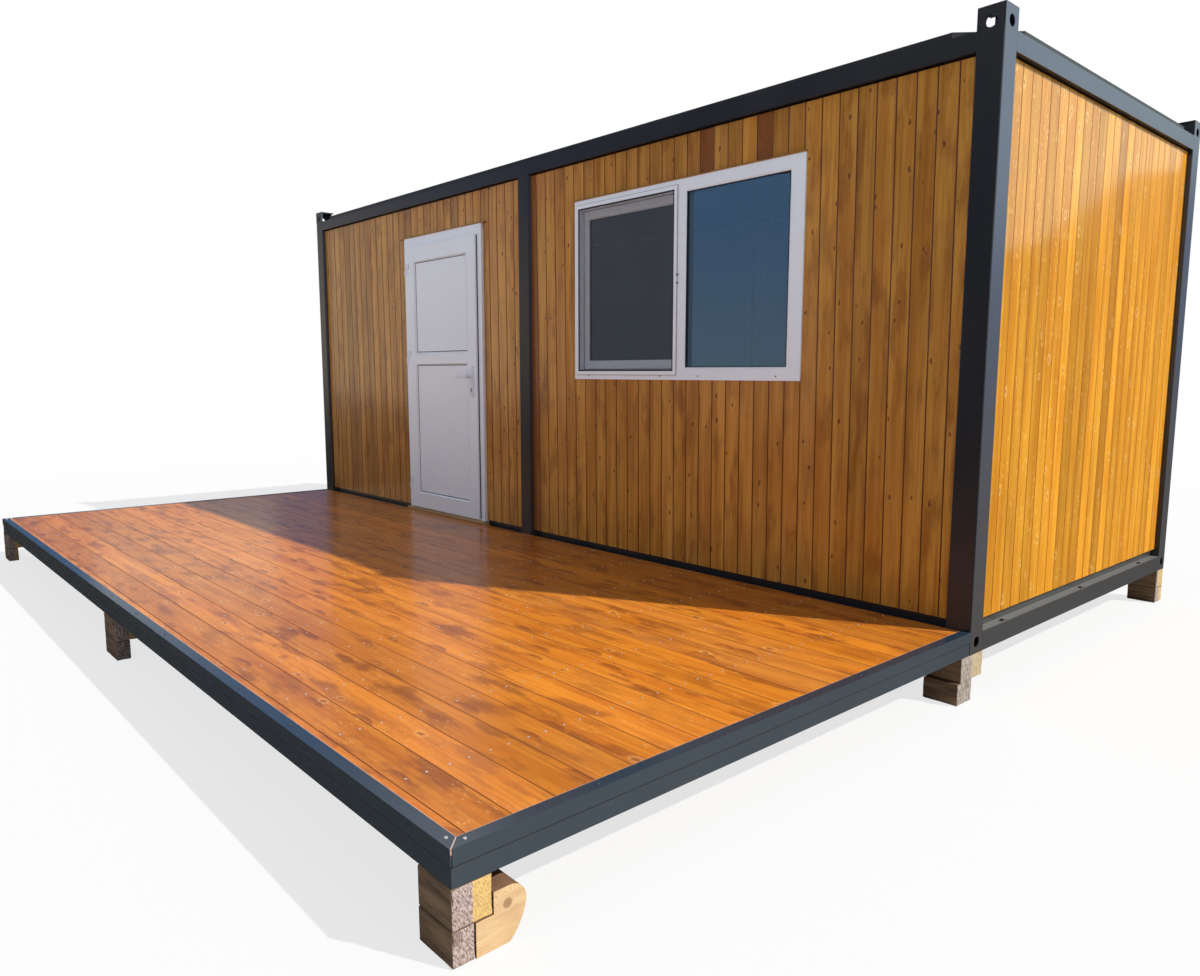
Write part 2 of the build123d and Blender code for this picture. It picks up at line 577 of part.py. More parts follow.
# Lock plates with the cylinder boss, one on each face of the leaf
OUTER_PLATE = Plane((LEVER_X, LEAF_FACE, LEVER_Z), x_dir=(1, 0, 0), z_dir=(0, -1, 0))
INNER_PLATE = Plane((LEVER_X, LEAF_BACK, LEVER_Z), x_dir=(-1, 0, 0), z_dir=(0, 1, 0))
with BuildPart() as lock_plates:
    for face in (OUTER_PLATE, INNER_PLATE):
        with BuildSketch(face):
            with Locations((0, -LOCK_PLATE_DROP)):
                SlotOverall(LOCK_PLATE_HEIGHT, LOCK_PLATE_WIDTH, rotation=90)
            with Locations((0, 0)):
                Circle(SPINDLE_RADIUS + SPINDLE_CLEARANCE, mode=Mode.SUBTRACT)
        extrude(amount=LOCK_PLATE_THICKNESS)
        with BuildSketch(face.offset(LOCK_PLATE_THICKNESS)):
            with Locations((0, -KEY_DROP)):
                Circle(KEY_RADIUS)
        extrude(amount=KEY_PROUD)
save(lock_plates, "lock_plates")

# Lever handle: one spindle through the leaf, a neck and a bar on each side, pointing at the hinges
with BuildPart() as lever_handle:
    for face, towards_hinge in ((OUTER_PLATE, -1), (INNER_PLATE, 1)):
        neck_start = face.offset(LOCK_PLATE_THICKNESS + LEVER_GAP)
        half_spindle = LEAF_THICKNESS / 2 + LOCK_PLATE_THICKNESS + NECK_LENGTH
        add(rod(face.offset(-LEAF_THICKNESS / 2), SPINDLE_RADIUS, half_spindle))
        add(rod(neck_start, NECK_RADIUS, NECK_LENGTH))
        with BuildPart(mode=Mode.PRIVATE) as bar:
            with BuildSketch(neck_start.offset(NECK_LENGTH - LEVER_THICKNESS)):
                with Locations((towards_hinge * LEVER_LENGTH / 2, 0)):
                    SlotCenterToCenter(LEVER_LENGTH, LEVER_BAR)
            extrude(amount=LEVER_THICKNESS)
            chamfer(bar.edges().group_by(Axis.Y)[0] + bar.edges().group_by(Axis.Y)[-1], LEVER_CHAMFER)
        add(bar.part)
save(lever_handle, "lever_handle")

# Deck: beams all round, joists across, the board surface and the folded edge trims
DECK_X = X_END - TRIM_METAL
DECK_INNER_X = DECK_X - DECK_BEAM_WIDTH
DECK_FRONT = Y_DECK + TRIM_METAL
DECK_JOIST_Y = (DECK_FRONT + DECK_BEAM_WIDTH, Y_FRONT - DECK_BEAM_WIDTH)
with BuildPart() as deck_beams_long:
    add(slab((-DECK_X, DECK_X), (DECK_FRONT, DECK_JOIST_Y[0]), (BASE, BEAM_TOP)))
    add(slab((-DECK_X, DECK_X), (DECK_JOIST_Y[1], Y_FRONT), (BASE, BEAM_TOP)))
save(deck_beams_long, "deck_beams_long")

with BuildPart() as deck_beams_end:
    for side_x in (-1, 1):
        add(slab(span(side_x * DECK_X, side_x * DECK_INNER_X), DECK_JOIST_Y, (BASE, BEAM_TOP)))
save(deck_beams_end, "deck_beams_end")

with BuildPart() as deck_joists:
    for place in joist_places:
        joist_x = (place - JOIST_WIDTH / 2, place + JOIST_WIDTH / 2)
        add(slab(joist_x, DECK_JOIST_Y, (BASE + DECK_JOIST_LIFT, BEAM_TOP)))
save(deck_joists, "deck_joists")

with BuildPart() as deck_boards:
    add(slab((-DECK_X, DECK_X), (DECK_FRONT, Y_FRONT), (BEAM_TOP, BOARD_TOP)))
save(deck_boards, "deck_boards")

with BuildPart() as deck_trims:
    flange_x = X_END - DECK_TRIM_FLANGE
    flange_y = Y_DECK + DECK_TRIM_FLANGE
    leg_z = (DECK_SURFACE - DECK_TRIM_LEG, DECK_SURFACE)
    with BuildSketch(Plane.XY.offset(BOARD_TOP)):
        with BuildLine():
            Polyline(
                (-X_END + MITRE_GAP, Y_DECK),
                (X_END - MITRE_GAP, Y_DECK),
                (flange_x - MITRE_GAP, flange_y),
                (-flange_x + MITRE_GAP, flange_y),
                close=True,
            )
        make_face()
    extrude(amount=TRIM_METAL)
    add(slab((-X_END + MITRE_GAP, X_END - MITRE_GAP), (Y_DECK, DECK_FRONT), leg_z))
    for side_x in (-1, 1):
        with BuildSketch(Plane.XY.offset(BOARD_TOP)):
            with BuildLine():
                Polyline(
                    (side_x * X_END, Y_DECK + MITRE_GAP),
                    (side_x * X_END, Y_FRONT),
                    (side_x * flange_x, Y_FRONT),
                    (side_x * flange_x, flange_y + MITRE_GAP),
                    close=True,
                )
            make_face()
        extrude(amount=TRIM_METAL)
        add(slab(span(side_x * X_END, side_x * DECK_X), (DECK_FRONT + MITRE_GAP, Y_FRONT), leg_z))
save(deck_trims, "deck_trims")

# Timber blocks: stacks of two, square to the frame, and an offcut slab of log beside the nearest stack
UPPER_FOOT = BASE - UPPER_BLOCK
STACK_X = (
    (X_END - BLOCK_LENGTH, X_END),
    (-MID_BLOCK_LENGTH / 2, MID_BLOCK_LENGTH / 2),
    (-X_END, -X_END + BLOCK_LENGTH),
)
UPPER_Y = (
    (Y_DECK, Y_DECK + BLOCK_WIDTH),
    (Y_FRONT - 65, Y_FRONT + 121),
    (Y_REAR - BLOCK_WIDTH, Y_REAR),
)
LOWER_Y = (
    (Y_DECK, Y_DECK + NARROW_BLOCK),
    (Y_FRONT - 88, Y_FRONT + 34),
    (Y_REAR - BLOCK_WIDTH, Y_REAR),
)
with BuildPart() as upper_blocks:
    for stack_x in STACK_X:
        for stack_y in UPPER_Y:
            add(slab(stack_x, stack_y, (UPPER_FOOT, BASE)))
save(upper_blocks, "upper_blocks")

with BuildPart() as lower_blocks:
    for stack_x in STACK_X:
        for stack_y in LOWER_Y:
            add(slab(stack_x, stack_y, (0, UPPER_FOOT)))
save(lower_blocks, "lower_blocks")

with BuildPart() as log_slab:
    log_left = Y_DECK + NARROW_BLOCK + LOG_GAP
    step = Y_DECK + BLOCK_WIDTH + LOG_GAP
    log_right = log_left + LOG_WIDTH
    with BuildSketch(Plane.YZ.offset(X_END - LOG_LENGTH)) as log_face:
        with BuildLine():
            Polyline(
                (log_left, UPPER_FOOT - LOG_GAP),
                (log_left, 0),
                (log_right - LOG_ROUND, 0),
            )
            RadiusArc((log_right - LOG_ROUND, 0), (log_right, LOG_HEIGHT - LOG_ROUND), -LOG_HEIGHT)
            RadiusArc((log_right, LOG_HEIGHT - LOG_ROUND), (log_right - LOG_ROUND, LOG_HEIGHT), -LOG_ROUND)
            Polyline(
                (log_right - LOG_ROUND, LOG_HEIGHT),
                (step, LOG_HEIGHT),
                (step, UPPER_FOOT - LOG_GAP),
                (log_left, UPPER_FOOT - LOG_GAP),
            )
        make_face()
    extrude(amount=LOG_LENGTH)
save(log_slab, "log_slab")
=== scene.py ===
"""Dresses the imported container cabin: separate wall and deck boards, window and door fittings, fixings,
timber blocks, and the finishes of steel, varnished pine, white profile, glass and rough timber.

Metres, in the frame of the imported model: X along the length, -Y the deck side, Z up.
"""

import json
import math
import random

import bmesh
import bpy
from mathutils import Matrix, Vector


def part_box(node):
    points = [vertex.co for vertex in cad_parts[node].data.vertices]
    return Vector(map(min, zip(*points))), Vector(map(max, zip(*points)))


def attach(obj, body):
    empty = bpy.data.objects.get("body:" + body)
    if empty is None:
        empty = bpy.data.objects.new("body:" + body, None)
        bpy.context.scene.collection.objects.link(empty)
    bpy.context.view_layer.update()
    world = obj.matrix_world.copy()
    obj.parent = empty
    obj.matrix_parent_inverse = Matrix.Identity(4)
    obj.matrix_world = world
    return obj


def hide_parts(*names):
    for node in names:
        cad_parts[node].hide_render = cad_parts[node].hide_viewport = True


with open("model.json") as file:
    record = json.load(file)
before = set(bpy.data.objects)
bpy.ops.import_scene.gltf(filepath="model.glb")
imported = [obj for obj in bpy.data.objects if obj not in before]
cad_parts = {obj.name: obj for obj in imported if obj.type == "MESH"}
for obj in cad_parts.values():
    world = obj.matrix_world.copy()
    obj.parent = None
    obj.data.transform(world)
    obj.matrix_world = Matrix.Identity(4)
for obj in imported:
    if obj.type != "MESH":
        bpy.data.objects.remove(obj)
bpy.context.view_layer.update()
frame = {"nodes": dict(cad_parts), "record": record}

AT_FRONT = 0.0
AT_RIGHT_END = math.pi / 2
AT_REAR = math.pi
AT_LEFT_END = -math.pi / 2


# ------ hand tools


def let_go():
    """Leaves edit mode and deselects everything."""
    if bpy.context.object and bpy.context.object.mode != "OBJECT":
        bpy.ops.object.mode_set(mode="OBJECT")
    bpy.ops.object.select_all(action="DESELECT")


def take(piece):
    """Makes this piece the only one selected, and the active one."""
    let_go()
    piece.select_set(True)
    bpy.context.view_layer.objects.active = piece


def call(piece, name):
    piece.name = name
    piece.data.name = name
    return piece


def settle(piece):
    """Puts the object's own place, turn and scale into its mesh."""
    take(piece)
    bpy.ops.object.transform_apply(location=True, rotation=True, scale=True)
    return piece


def block(name, low, high):
    """A squared block between two opposite corners."""
    let_go()
    low, high = Vector(low), Vector(high)
    bpy.ops.mesh.primitive_cube_add(size=1, location=(low + high) / 2)
    piece = bpy.context.object
    piece.scale = high - low
    return call(settle(piece), name)


def pair(name, low, high):
    """The block between two corners at the right, after its mirror image at the left."""
    mirrored = block(name, (-high[0], *low[1:]), (-low[0], *high[1:]))
    return [mirrored, block(name, low, high)]


def round_bar(name, centre, radius, length, axis, sides):
    """A round bar or disc with its middle at the centre given."""
    let_go()
    turn = {"Y": (math.pi / 2, 0, 0), "Z": (0, 0, 0)}[axis]
    bpy.ops.mesh.primitive_cylinder_add(
        vertices=sides, radius=radius, depth=length, location=centre, rotation=turn
    )
    return call(settle(bpy.context.object), name)


def open_up(piece, kind):
    """Enters edit mode with nothing selected. Returns the mesh as it can be edited there."""
    take(piece)
    bpy.ops.object.mode_set(mode="EDIT")
    bpy.ops.mesh.select_mode(type=kind)
    bpy.ops.mesh.select_all(action="DESELECT")
    return bmesh.from_edit_mesh(piece.data)


def bevel_edges(piece, offset, test):
    """Bevels the edges whose middle and direction pass the test."""
    shape = open_up(piece, "EDGE")
    for edge in shape.edges:
        start, end = edge.verts[0].co, edge.verts[1].co
        if test((start + end) / 2, (end - start).normalized()):
            edge.select_set(True)
    bmesh.update_edit_mesh(piece.data)
    bpy.ops.mesh.bevel(offset=offset, segments=2, affect="EDGES")
    let_go()


def pick_faces(piece, test):
    """In edit mode, selects the faces whose middle and outward direction pass the test."""
    shape = open_up(piece, "FACE")
    for face in shape.faces:
        if test(face.calc_center_median(), face.normal):
            face.select_set(True)
    bmesh.update_edit_mesh(piece.data)


def apply_modifier(piece, kind, **settings):
    take(piece)
    worker = piece.modifiers.new(kind.lower(), kind)
    for key, value in settings.items():
        setattr(worker, key, value)
    bpy.ops.object.modifier_apply(modifier=worker.name)
    return piece


def soften(piece, width, segments=2):
    """Rounds every sharp edge."""
    sharp = math.radians(40)
    return apply_modifier(
        piece, "BEVEL", width=width, segments=segments, limit_method="ANGLE", angle_limit=sharp
    )


def row(piece, count, step):
    """Repeats the piece in a straight row."""
    return apply_modifier(
        piece,
        "ARRAY",
        count=count,
        use_relative_offset=False,
        use_constant_offset=True,
        constant_offset_displace=step,
    )


def cut_away(piece, low, high):
    """Cuts a square opening through the piece."""
    cutter = block("cutter", low, high)
    apply_modifier(piece, "BOOLEAN", operation="DIFFERENCE", object=cutter, solver="EXACT")
    bpy.data.objects.remove(cutter)
    return piece


def saw_off(piece, cuts):
    """Saws the piece flat at each plane, and throws away what lies on the plane's outward side."""
    take(piece)
    bpy.ops.object.mode_set(mode="EDIT")
    for point, outward in cuts:
        bpy.ops.mesh.select_all(action="SELECT")
        bpy.ops.mesh.bisect(plane_co=point, plane_no=outward, use_fill=True, clear_outer=True)
    let_go()


def join(name, pieces):
    """Makes one piece of several."""
    take(pieces[0])
    for piece in pieces:
        piece.select_set(True)
    if len(pieces) > 1:
        bpy.ops.object.join()
    return call(bpy.context.object, name)


def fit(piece, body, slot, finish, stands_for=()):
    """Gives a finished piece its finish and the body it moves with, and hides the parts that it stands for.
    """
    piece.data.materials.clear()
    piece.data.materials.append(finish)
    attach(piece, body)
    if stands_for:
        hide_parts(*stands_for)


# ------ node tools


class Value:
    """What a node gives. Sums made with it add Math nodes to its tree."""

    def __init__(self, node, output=0):
        self.tree = node.id_data
        self.socket = node.outputs[output]

    def math(self, operation, *others, clamp=False):
        terms = dict(enumerate((self, *others)))
        return Value(put(self.tree, "Math", terms, operation=operation, use_clamp=clamp))

    def __add__(self, other):
        return self.math("ADD", other)

    def __sub__(self, other):
        return self.math("SUBTRACT", other)

    def __mul__(self, other):
        return self.math("MULTIPLY", other)

    def __truediv__(self, other):
        return self.math("DIVIDE", other)

    def __rtruediv__(self, other):
        return Value(put(self.tree, "Math", {0: other, 1: self}, operation="DIVIDE"))


def feed(socket, value):
    """Sets an input to a plain value or an opaque colour, or links it to what a node gives."""
    if isinstance(value, Value):
        value.tree.links.new(value.socket, socket)
    elif socket.type == "RGBA" and len(value) == 3:
        socket.default_value = (*value, 1)
    else:
        socket.default_value = value


def put(tree, kind, inputs=None, **settings):
    """Adds a shader node, sets it up, and feeds its inputs."""
    made = tree.nodes.new("ShaderNode" + kind)
    for key, value in settings.items():
        setattr(made, key, value)
    for key, value in (inputs or {}).items():
        feed(made.inputs[key], value)
    return made


def fade(value, low, high, start=0.0, end=1.0):
    """A smooth step of the value between low and high."""
    inputs = {"Value": value, "From Min": low, "From Max": high, "To Min": start, "To Max": end}
    return Value(put(value.tree, "MapRange", inputs, interpolation_type="SMOOTHSTEP"), "Result")


def tint(factor, first, second):
    """Mixes two colours by the factor."""
    inputs = {0: factor, 6: first, 7: second}
    return Value(put(factor.tree, "Mix", inputs, data_type="RGBA", clamp_factor=True), 2)


def speckle(vector, scale, detail=3.0, roughness=0.55):
    """The value of a noise at that scale."""
    inputs = {"Vector": vector, "Scale": scale, "Detail": detail, "Roughness": roughness}
    return Value(put(vector.tree, "TexNoise", inputs), "Fac")


def drawn_out(vector, scales, detail=3.0, roughness=0.55):
    """The value of a noise with its own scale along each axis."""
    stretched = put(vector.tree, "VectorMath", {0: vector, 1: scales}, operation="MULTIPLY")
    return speckle(Value(stretched), 1.0, detail, roughness)


def vector_of(x, y, z=0.0):
    return Value(put(x.tree, "CombineXYZ", {"X": x, "Y": y, "Z": z}))


def axes_of(vector):
    split = put(vector.tree, "SeparateXYZ", {0: vector})
    return [Value(split, i) for i in range(3)]


def length_of(vector):
    return Value(put(vector.tree, "VectorMath", {0: vector}, operation="LENGTH"), "Value")


def outward_of(tree):
    """The three parts of the surface's outward direction."""
    return axes_of(Value(put(tree, "NewGeometry"), "Normal"))


def stored(tree, name, output="Fac"):
    """A value that was stored on the mesh."""
    return Value(put(tree, "Attribute", attribute_name=name), output)


def oval(x, y):
    """The distance from the middle, from two offsets."""
    return (x * x + y * y).math("SQRT")


def scattered(across, along, per_metre):
    """Spots scattered over a face. Gives each spot's own value, and the offsets from its middle."""
    squeeze = 0.55
    place = vector_of(across, along * squeeze)
    spots = put(
        place.tree, "TexVoronoi", {"Vector": place, "Scale": per_metre}, voronoi_dimensions="2D"
    )
    value = Value(put(place.tree, "SeparateColor", {0: Value(spots, "Color")}))
    middle = Value(spots, "Position")
    offset = put(place.tree, "VectorMath", {0: place, 1: middle}, operation="SUBTRACT")
    x, y, _ = axes_of(Value(offset))
    return value, x, y / squeeze


SOCKETS = {float: "NodeSocketFloat", tuple: "NodeSocketColor", type(None): "NodeSocketVector"}
RESULTS = {"Colour": "NodeSocketColor", "Roughness": "NodeSocketFloat", "Height": "NodeSocketFloat"}


def new_group(name, inputs):
    """A shader node group with the named inputs, whose defaults tell what they take.

    Returns the group, what each of its inputs gives, and its output node.
    """
    group = bpy.data.node_groups.new(name, "ShaderNodeTree")
    for label, default in inputs.items():
        socket = group.interface.new_socket(label, in_out="INPUT", socket_type=SOCKETS[type(default)])
        if default is not None:
            socket.default_value = default
    for label, kind in RESULTS.items():
        group.interface.new_socket(label, in_out="OUTPUT", socket_type=kind)
    given = group.nodes.new("NodeGroupInput")
    return group, {label: Value(given, label) for label in inputs}, group.nodes.new("NodeGroupOutput")


def give(result, *values):
    """Feeds a group's output node."""
    for label, value in zip(RESULTS, values):
        feed(result.inputs[label], value)


PINE_INPUTS = {
    "Along": 0.0,
    "Across": 0.0,
    "Board": 0.0,
    "Groove": 0.0,
    "Pale": (0.5, 0.25, 0.06, 1),
    "Warm": (0.36, 0.15, 0.04, 1),
    "Brown": (0.2, 0.07, 0.02, 1),
    "Knot": (0.04, 0.015, 0.006, 1),
    "Knot Ring And Glint": (0.7, 0.4, 0.1, 1),
    "Joint": (0.05, 0.02, 0.006, 1),
    "Knot Size": 0.012,
    "Knot Spacing": 0.2,
    "Ring And Highlight Strength": 0.4,
    "Blotches": 0.5,
    "Stain Arcs": 0.0,
    "Painted Glints": 0.0,
    "Bleached": 0.0,
    "Board Contrast": 0.3,
}


def make_pine_group():
    """Varnished pine: each board's own tone, slow figure and fine streaks along it, stain, knots with pale
    rings that are partly a painted highlight, and pale curled marks that are painted sun glints.

    Along and Across are metres on the board's face. The whole part of Board picks the piece of figure,
    and its fraction says how light the board is. Groove is 1 in the joints, where the stain gathers.
    """
    group, board, result = new_group("varnished pine", PINE_INPUTS)
    shade = board["Board"].math("FRACT")
    shift = board["Board"].math("FLOOR") * 3.71
    along = board["Along"] + shift
    across = shift * 0.61 + board["Across"]
    face = vector_of(across, along)

    figure = drawn_out(face, (16.0, 0.8, 1.0))
    streaks = drawn_out(face, (75.0, 1.6, 1.0), 4.0, 0.6)
    fibres = drawn_out(face, (520.0, 12.0, 1.0), 2.0)
    wander = drawn_out(face, (6.0, 0.9, 1.0), 2.0)
    patches = drawn_out(face, (13.0, 3.6, 1.0), 5.0)
    curls = drawn_out(face, (95.0, 28.0, 1.0), 3.0, 0.6)
    tufts = drawn_out(face, (7.0, 2.6, 1.0), 2.0)
    drift = drawn_out(face, (2.2, 0.9, 1.0), 2.0)
    mottle = drawn_out(face, (4.0, 1.3, 1.0), 2.0)
    ragged = drawn_out(face, (150.0, 60.0, 1.0), 2.0)
    rings = fade((wander * 60.0 + across * 260.0).math("SINE"), 0.2, 1.0)
    lines = fade((wander * 70.0 + across * 1300.0).math("SINE"), -0.2, 0.9) * fade(mottle, 0.45, 0.6)

    value, dx, dy = scattered(across, along, 1.0 / board["Knot Spacing"])
    radius = board["Knot Size"] * (value * 0.9 + 0.35)
    reach = ragged * 2.2 + (oval(dx, dy * 0.55) / radius - 1.1)
    knot = fade(reach, 1.0, 0.5) * fade(value, 0.1, 0.5, 0.3, 0.85)
    # Pale ring round each knot: partly the knot's own ring, partly a painted highlight where its bump catches
    # the light.
    halo_and_highlight = fade(reach, 1.9, 1.2) * fade(value, 0.3, 0.6)

    value, dx, dy = scattered(across + 5.3, along, 5.5)
    lift = dx / 0.034
    dome = tufts * 0.8 + (oval(lift, dy / 0.07) - 0.4)
    arc = fade(dome, 1.0, 0.88) * fade(lift, -0.3, 0.85) * fade(value, 0.3, 0.5)
    # Pale curled marks: painted sun glints on the varnish.
    painted_glint = fade(curls, 0.59, 0.66) * fade(tufts, 0.42, 0.6)
    stain = fade(patches, 0.48, 0.64) * fade(drift, 0.32, 0.62, 0.35, 1.0)
    bleached = fade((shade * 7.3).math("FRACT"), 0.4, 1.0) * fade(drift, 0.6, 0.38)
    light = (mottle - 0.5) * 0.5 + ((shade - 0.5) * board["Board Contrast"] + 1.0)

    base = tint(fade(figure, 0.32, 0.68), board["Pale"], board["Warm"])
    streaked = fade(streaks, 0.46, 0.74, 0.0, 0.5)
    for share in (streaked, rings * 0.12, lines * 0.3, stain * board["Blotches"], fibres * 0.14):
        base = tint(share, base, board["Brown"])
    base = Value(put(group, "HueSaturation", {"Value": light, "Color": base}))
    for share, colour in (
        (bleached * board["Bleached"], (0.66, 0.34, 0.14)),
        (fade(shade, 0.94, 0.97, 0.0, 0.9), board["Brown"]),
        (arc * board["Stain Arcs"], board["Brown"]),
        (halo_and_highlight * board["Ring And Highlight Strength"], board["Knot Ring And Glint"]),
        (painted_glint * board["Painted Glints"], board["Knot Ring And Glint"]),
        (knot, board["Knot"]),
        (board["Groove"], board["Joint"]),
    ):
        base = tint(share, base, colour)
    give(result, base, fibres * 0.16 + 0.34, knot * 0.8 + (fibres * 0.5 + rings * 0.3))
    return group


def make_wear_group():
    """Dust, smears and fine scratches over a plain finish."""
    group, coat, result = new_group(
        "dust and scuffs",
        {
            "Place": None,
            "Finish": (0.5, 0.5, 0.5, 1),
            "Dust": (0.3, 0.28, 0.25, 1),
            "Dustiness": 0.2,
            "Scuffs": 0.2,
            "Base Roughness": 0.4,
        },
    )
    clouds = speckle(coat["Place"], 2.3, 5.0, 0.65)
    grit = speckle(coat["Place"], 70.0, 2.0)
    dusty = fade(clouds, 0.35, 0.8) * coat["Dustiness"]
    scratch = fade(drawn_out(coat["Place"], (5.0, 5.0, 90.0), 3.0, 0.7), 0.66, 0.74)
    scuffed = coat["Scuffs"] * fade(clouds, 0.55, 0.7)
    worn = (scratch * scuffed).math("ADD", dusty, clamp=True)
    rough = worn * 0.4 + coat["Base Roughness"]
    rough = (grit * 0.08).math("ADD", rough, clamp=True)
    give(result, tint(worn, coat["Finish"], coat["Dust"]), rough, scratch * -0.6 + grit)
    return group


PINE = make_pine_group()
WEAR = make_wear_group()


def new_finish(name, **sockets):
    """A material with its Principled shader. The sockets given are constants on the shader itself."""
    finish = bpy.data.materials.new(name)
    finish.use_nodes = True
    tree = finish.node_tree
    shader = tree.nodes["Principled BSDF"]
    for key, value in sockets.items():
        feed(shader.inputs[key.replace("_", " ")], value)
    return finish, tree, shader, Value(put(tree, "TexCoord"), "Object")


def dress(shader, colour, roughness, height, strength, distance):
    """Gives the shader its colour, its roughness, and a bump from the height."""
    feed(shader.inputs["Base Color"], colour)
    feed(shader.inputs["Roughness"], roughness)
    bump = put(height.tree, "Bump", {"Height": height, "Strength": strength, "Distance": distance})
    feed(shader.inputs["Normal"], Value(bump))


def pine_finish(name, along, across, grain, groove=0.8, **sockets):
    """Pine boards whose grain runs along one axis. Each board has its own figure and tone."""
    finish, tree, shader, place = new_finish(name, **sockets)
    axes = axes_of(place)
    fed = {
        "Along": axes[along],
        "Across": axes[across[0]] + axes[across[1]] if len(across) > 1 else axes[across[0]],
        "Board": stored(tree, "board"),
        "Groove": stored(tree, "groove") * groove,
    }
    pine = put(tree, "Group", {**fed, **grain}, node_tree=PINE)
    colour, roughness, height = (Value(pine, label) for label in RESULTS)
    dress(shader, colour, roughness, height, 0.25, 0.001)
    return finish


def worn_finish(
    name, colour, dust, dustiness, scuffs, roughness, bump=0.1, top=None, lines=0.0, ends=None, **sockets
):
    """A painted or moulded surface with dust and scuffs over it.

    Flat tops may have a colour of their own: dust on the ledge, and a painted sky reflection on the deck
    trim. The faces at either end may get a painted sky sheen, bluer and lighter towards the top.
    """
    finish, tree, shader, place = new_finish(name, **sockets)
    coat = {"Place": place, "Finish": colour, "Dust": dust, "Dustiness": dustiness, "Scuffs": scuffs}
    wear = put(tree, "Group", {**coat, "Base Roughness": roughness}, node_tree=WEAR)
    shown, rough, height = (Value(wear, label) for label in RESULTS)
    outward, axes = outward_of(tree), axes_of(place)
    if ends:
        # Painted sky sheen on the faces at either end: bluish, and lighter towards the top.
        painted_end_sheen = tint(fade(axes[2], 0.2, 2.2), (0.048, 0.045, 0.045), ends)
        shown = tint(fade(outward[0].math("ABSOLUTE"), 0.7, 0.9), shown, painted_end_sheen)
    if top:
        lined = fade((axes[0] * 500.0).math("SINE"), -0.2, 0.6, 1.0, 1.0 - lines)
        shown = tint(fade(outward[2], 0.7, 0.95) * lined, shown, top)
    dress(shader, shown, rough, height, bump, 0.0006)
    return finish


# ------ finishes

WALL_COLOURS = {
    "Pale": (0.6, 0.295, 0.045),
    "Warm": (0.43, 0.175, 0.017),
    "Brown": (0.19, 0.057, 0.009),
    "Knot": (0.13, 0.042, 0.009),
    "Knot Ring And Glint": (0.58, 0.3, 0.06),
    "Joint": (0.14, 0.038, 0.006),
}
# A lit copy of the wall pine: paler knots, knot rings and joints and stronger glints paint sunlight on the
# varnish of the end. Both ends use it.
SUNLIT_END_COLOURS = {
    "Pale": (0.65, 0.31, 0.02),
    "Warm": (0.495, 0.19, 0.006),
    "Brown": (0.38, 0.128, 0.007),
    "Knot": (0.33, 0.115, 0.012),
    "Knot Ring And Glint": (0.9, 0.66, 0.24),
    "Joint": (0.26, 0.085, 0.008),
}
DECK_COLOURS = {
    "Pale": (0.67, 0.228, 0.017),
    "Warm": (0.52, 0.149, 0.009),
    "Brown": (0.2, 0.048, 0.008),
    "Knot": (0.24, 0.065, 0.01),
    "Knot Ring And Glint": (0.86, 0.5, 0.17),
    "Joint": (0.2, 0.055, 0.01),
}
RAW_COLOURS = {
    "Pale": (0.6, 0.44, 0.25),
    "Warm": (0.5, 0.33, 0.17),
    "Brown": (0.3, 0.18, 0.09),
    "Knot": (0.12, 0.06, 0.03),
    "Knot Ring And Glint": (0.6, 0.4, 0.2),
}
FLOOR_COLOURS = {
    "Pale": (0.36, 0.25, 0.15),
    "Warm": (0.28, 0.18, 0.1),
    "Brown": (0.18, 0.11, 0.06),
    "Knot": (0.1, 0.06, 0.03),
    "Knot Ring And Glint": (0.36, 0.25, 0.15),
}
WALL_PINE = pine_finish(
    "varnished wall boards",
    along=2,
    across=(0, 1),
    grain={
        **WALL_COLOURS,
        "Knot Size": 0.008,
        "Knot Spacing": 0.12,
        "Ring And Highlight Strength": 0.15,
        "Blotches": 0.55,
        "Painted Glints": 0.12,
        "Bleached": 0.15,
        "Board Contrast": 0.5,
    },
    groove=0.85,
    Coat_Weight=0.7,
    Coat_Roughness=0.16,
    Coat_IOR=1.5,
    Specular_IOR_Level=0.1,
)
SUNLIT_END_PINE = pine_finish(
    "varnished end wall boards with painted sunlight",
    along=2,
    across=(0, 1),
    grain={
        **SUNLIT_END_COLOURS,
        "Knot Size": 0.0075,
        "Knot Spacing": 0.13,
        "Ring And Highlight Strength": 0.3,
        "Blotches": 0.25,
        "Painted Glints": 0.45,
        "Board Contrast": 0.6,
    },
    groove=0.7,
    Coat_Weight=0.8,
    Coat_Roughness=0.1,
    Coat_IOR=1.6,
    Specular_IOR_Level=0.1,
)
DECK_PINE = pine_finish(
    "varnished deck boards",
    along=0,
    across=(1,),
    grain={
        **DECK_COLOURS,
        "Knot Size": 0.0105,
        "Knot Spacing": 0.24,
        "Ring And Highlight Strength": 0.25,
        "Blotches": 0.75,
        "Stain Arcs": 0.8,
        "Painted Glints": 0.3,
        "Bleached": 0.1,
        "Board Contrast": 0.45,
    },
    groove=0.6,
    Coat_Weight=0.5,
    Coat_Roughness=0.17,
    Coat_IOR=1.5,
    Specular_IOR_Level=0.15,
)
STEEL = worn_finish(
    "anthracite frame paint", (0.012, 0.014, 0.019), (0.06, 0.063, 0.067), 0.08, 0.5, 0.27,
    # The bluish end colour is a painted sheen of sun and sky on the end faces.
    ends=(0.05, 0.065, 0.105),
    Specular_IOR_Level=0.55,
)
LEDGE_STEEL = worn_finish(
    "anthracite paint with a dusty ledge", (0.042, 0.042, 0.043), (0.1, 0.1, 0.1), 0.08, 0.4, 0.27,
    top=(0.2, 0.2, 0.195),
    lines=0.8,
    Specular_IOR_Level=0.7,
)
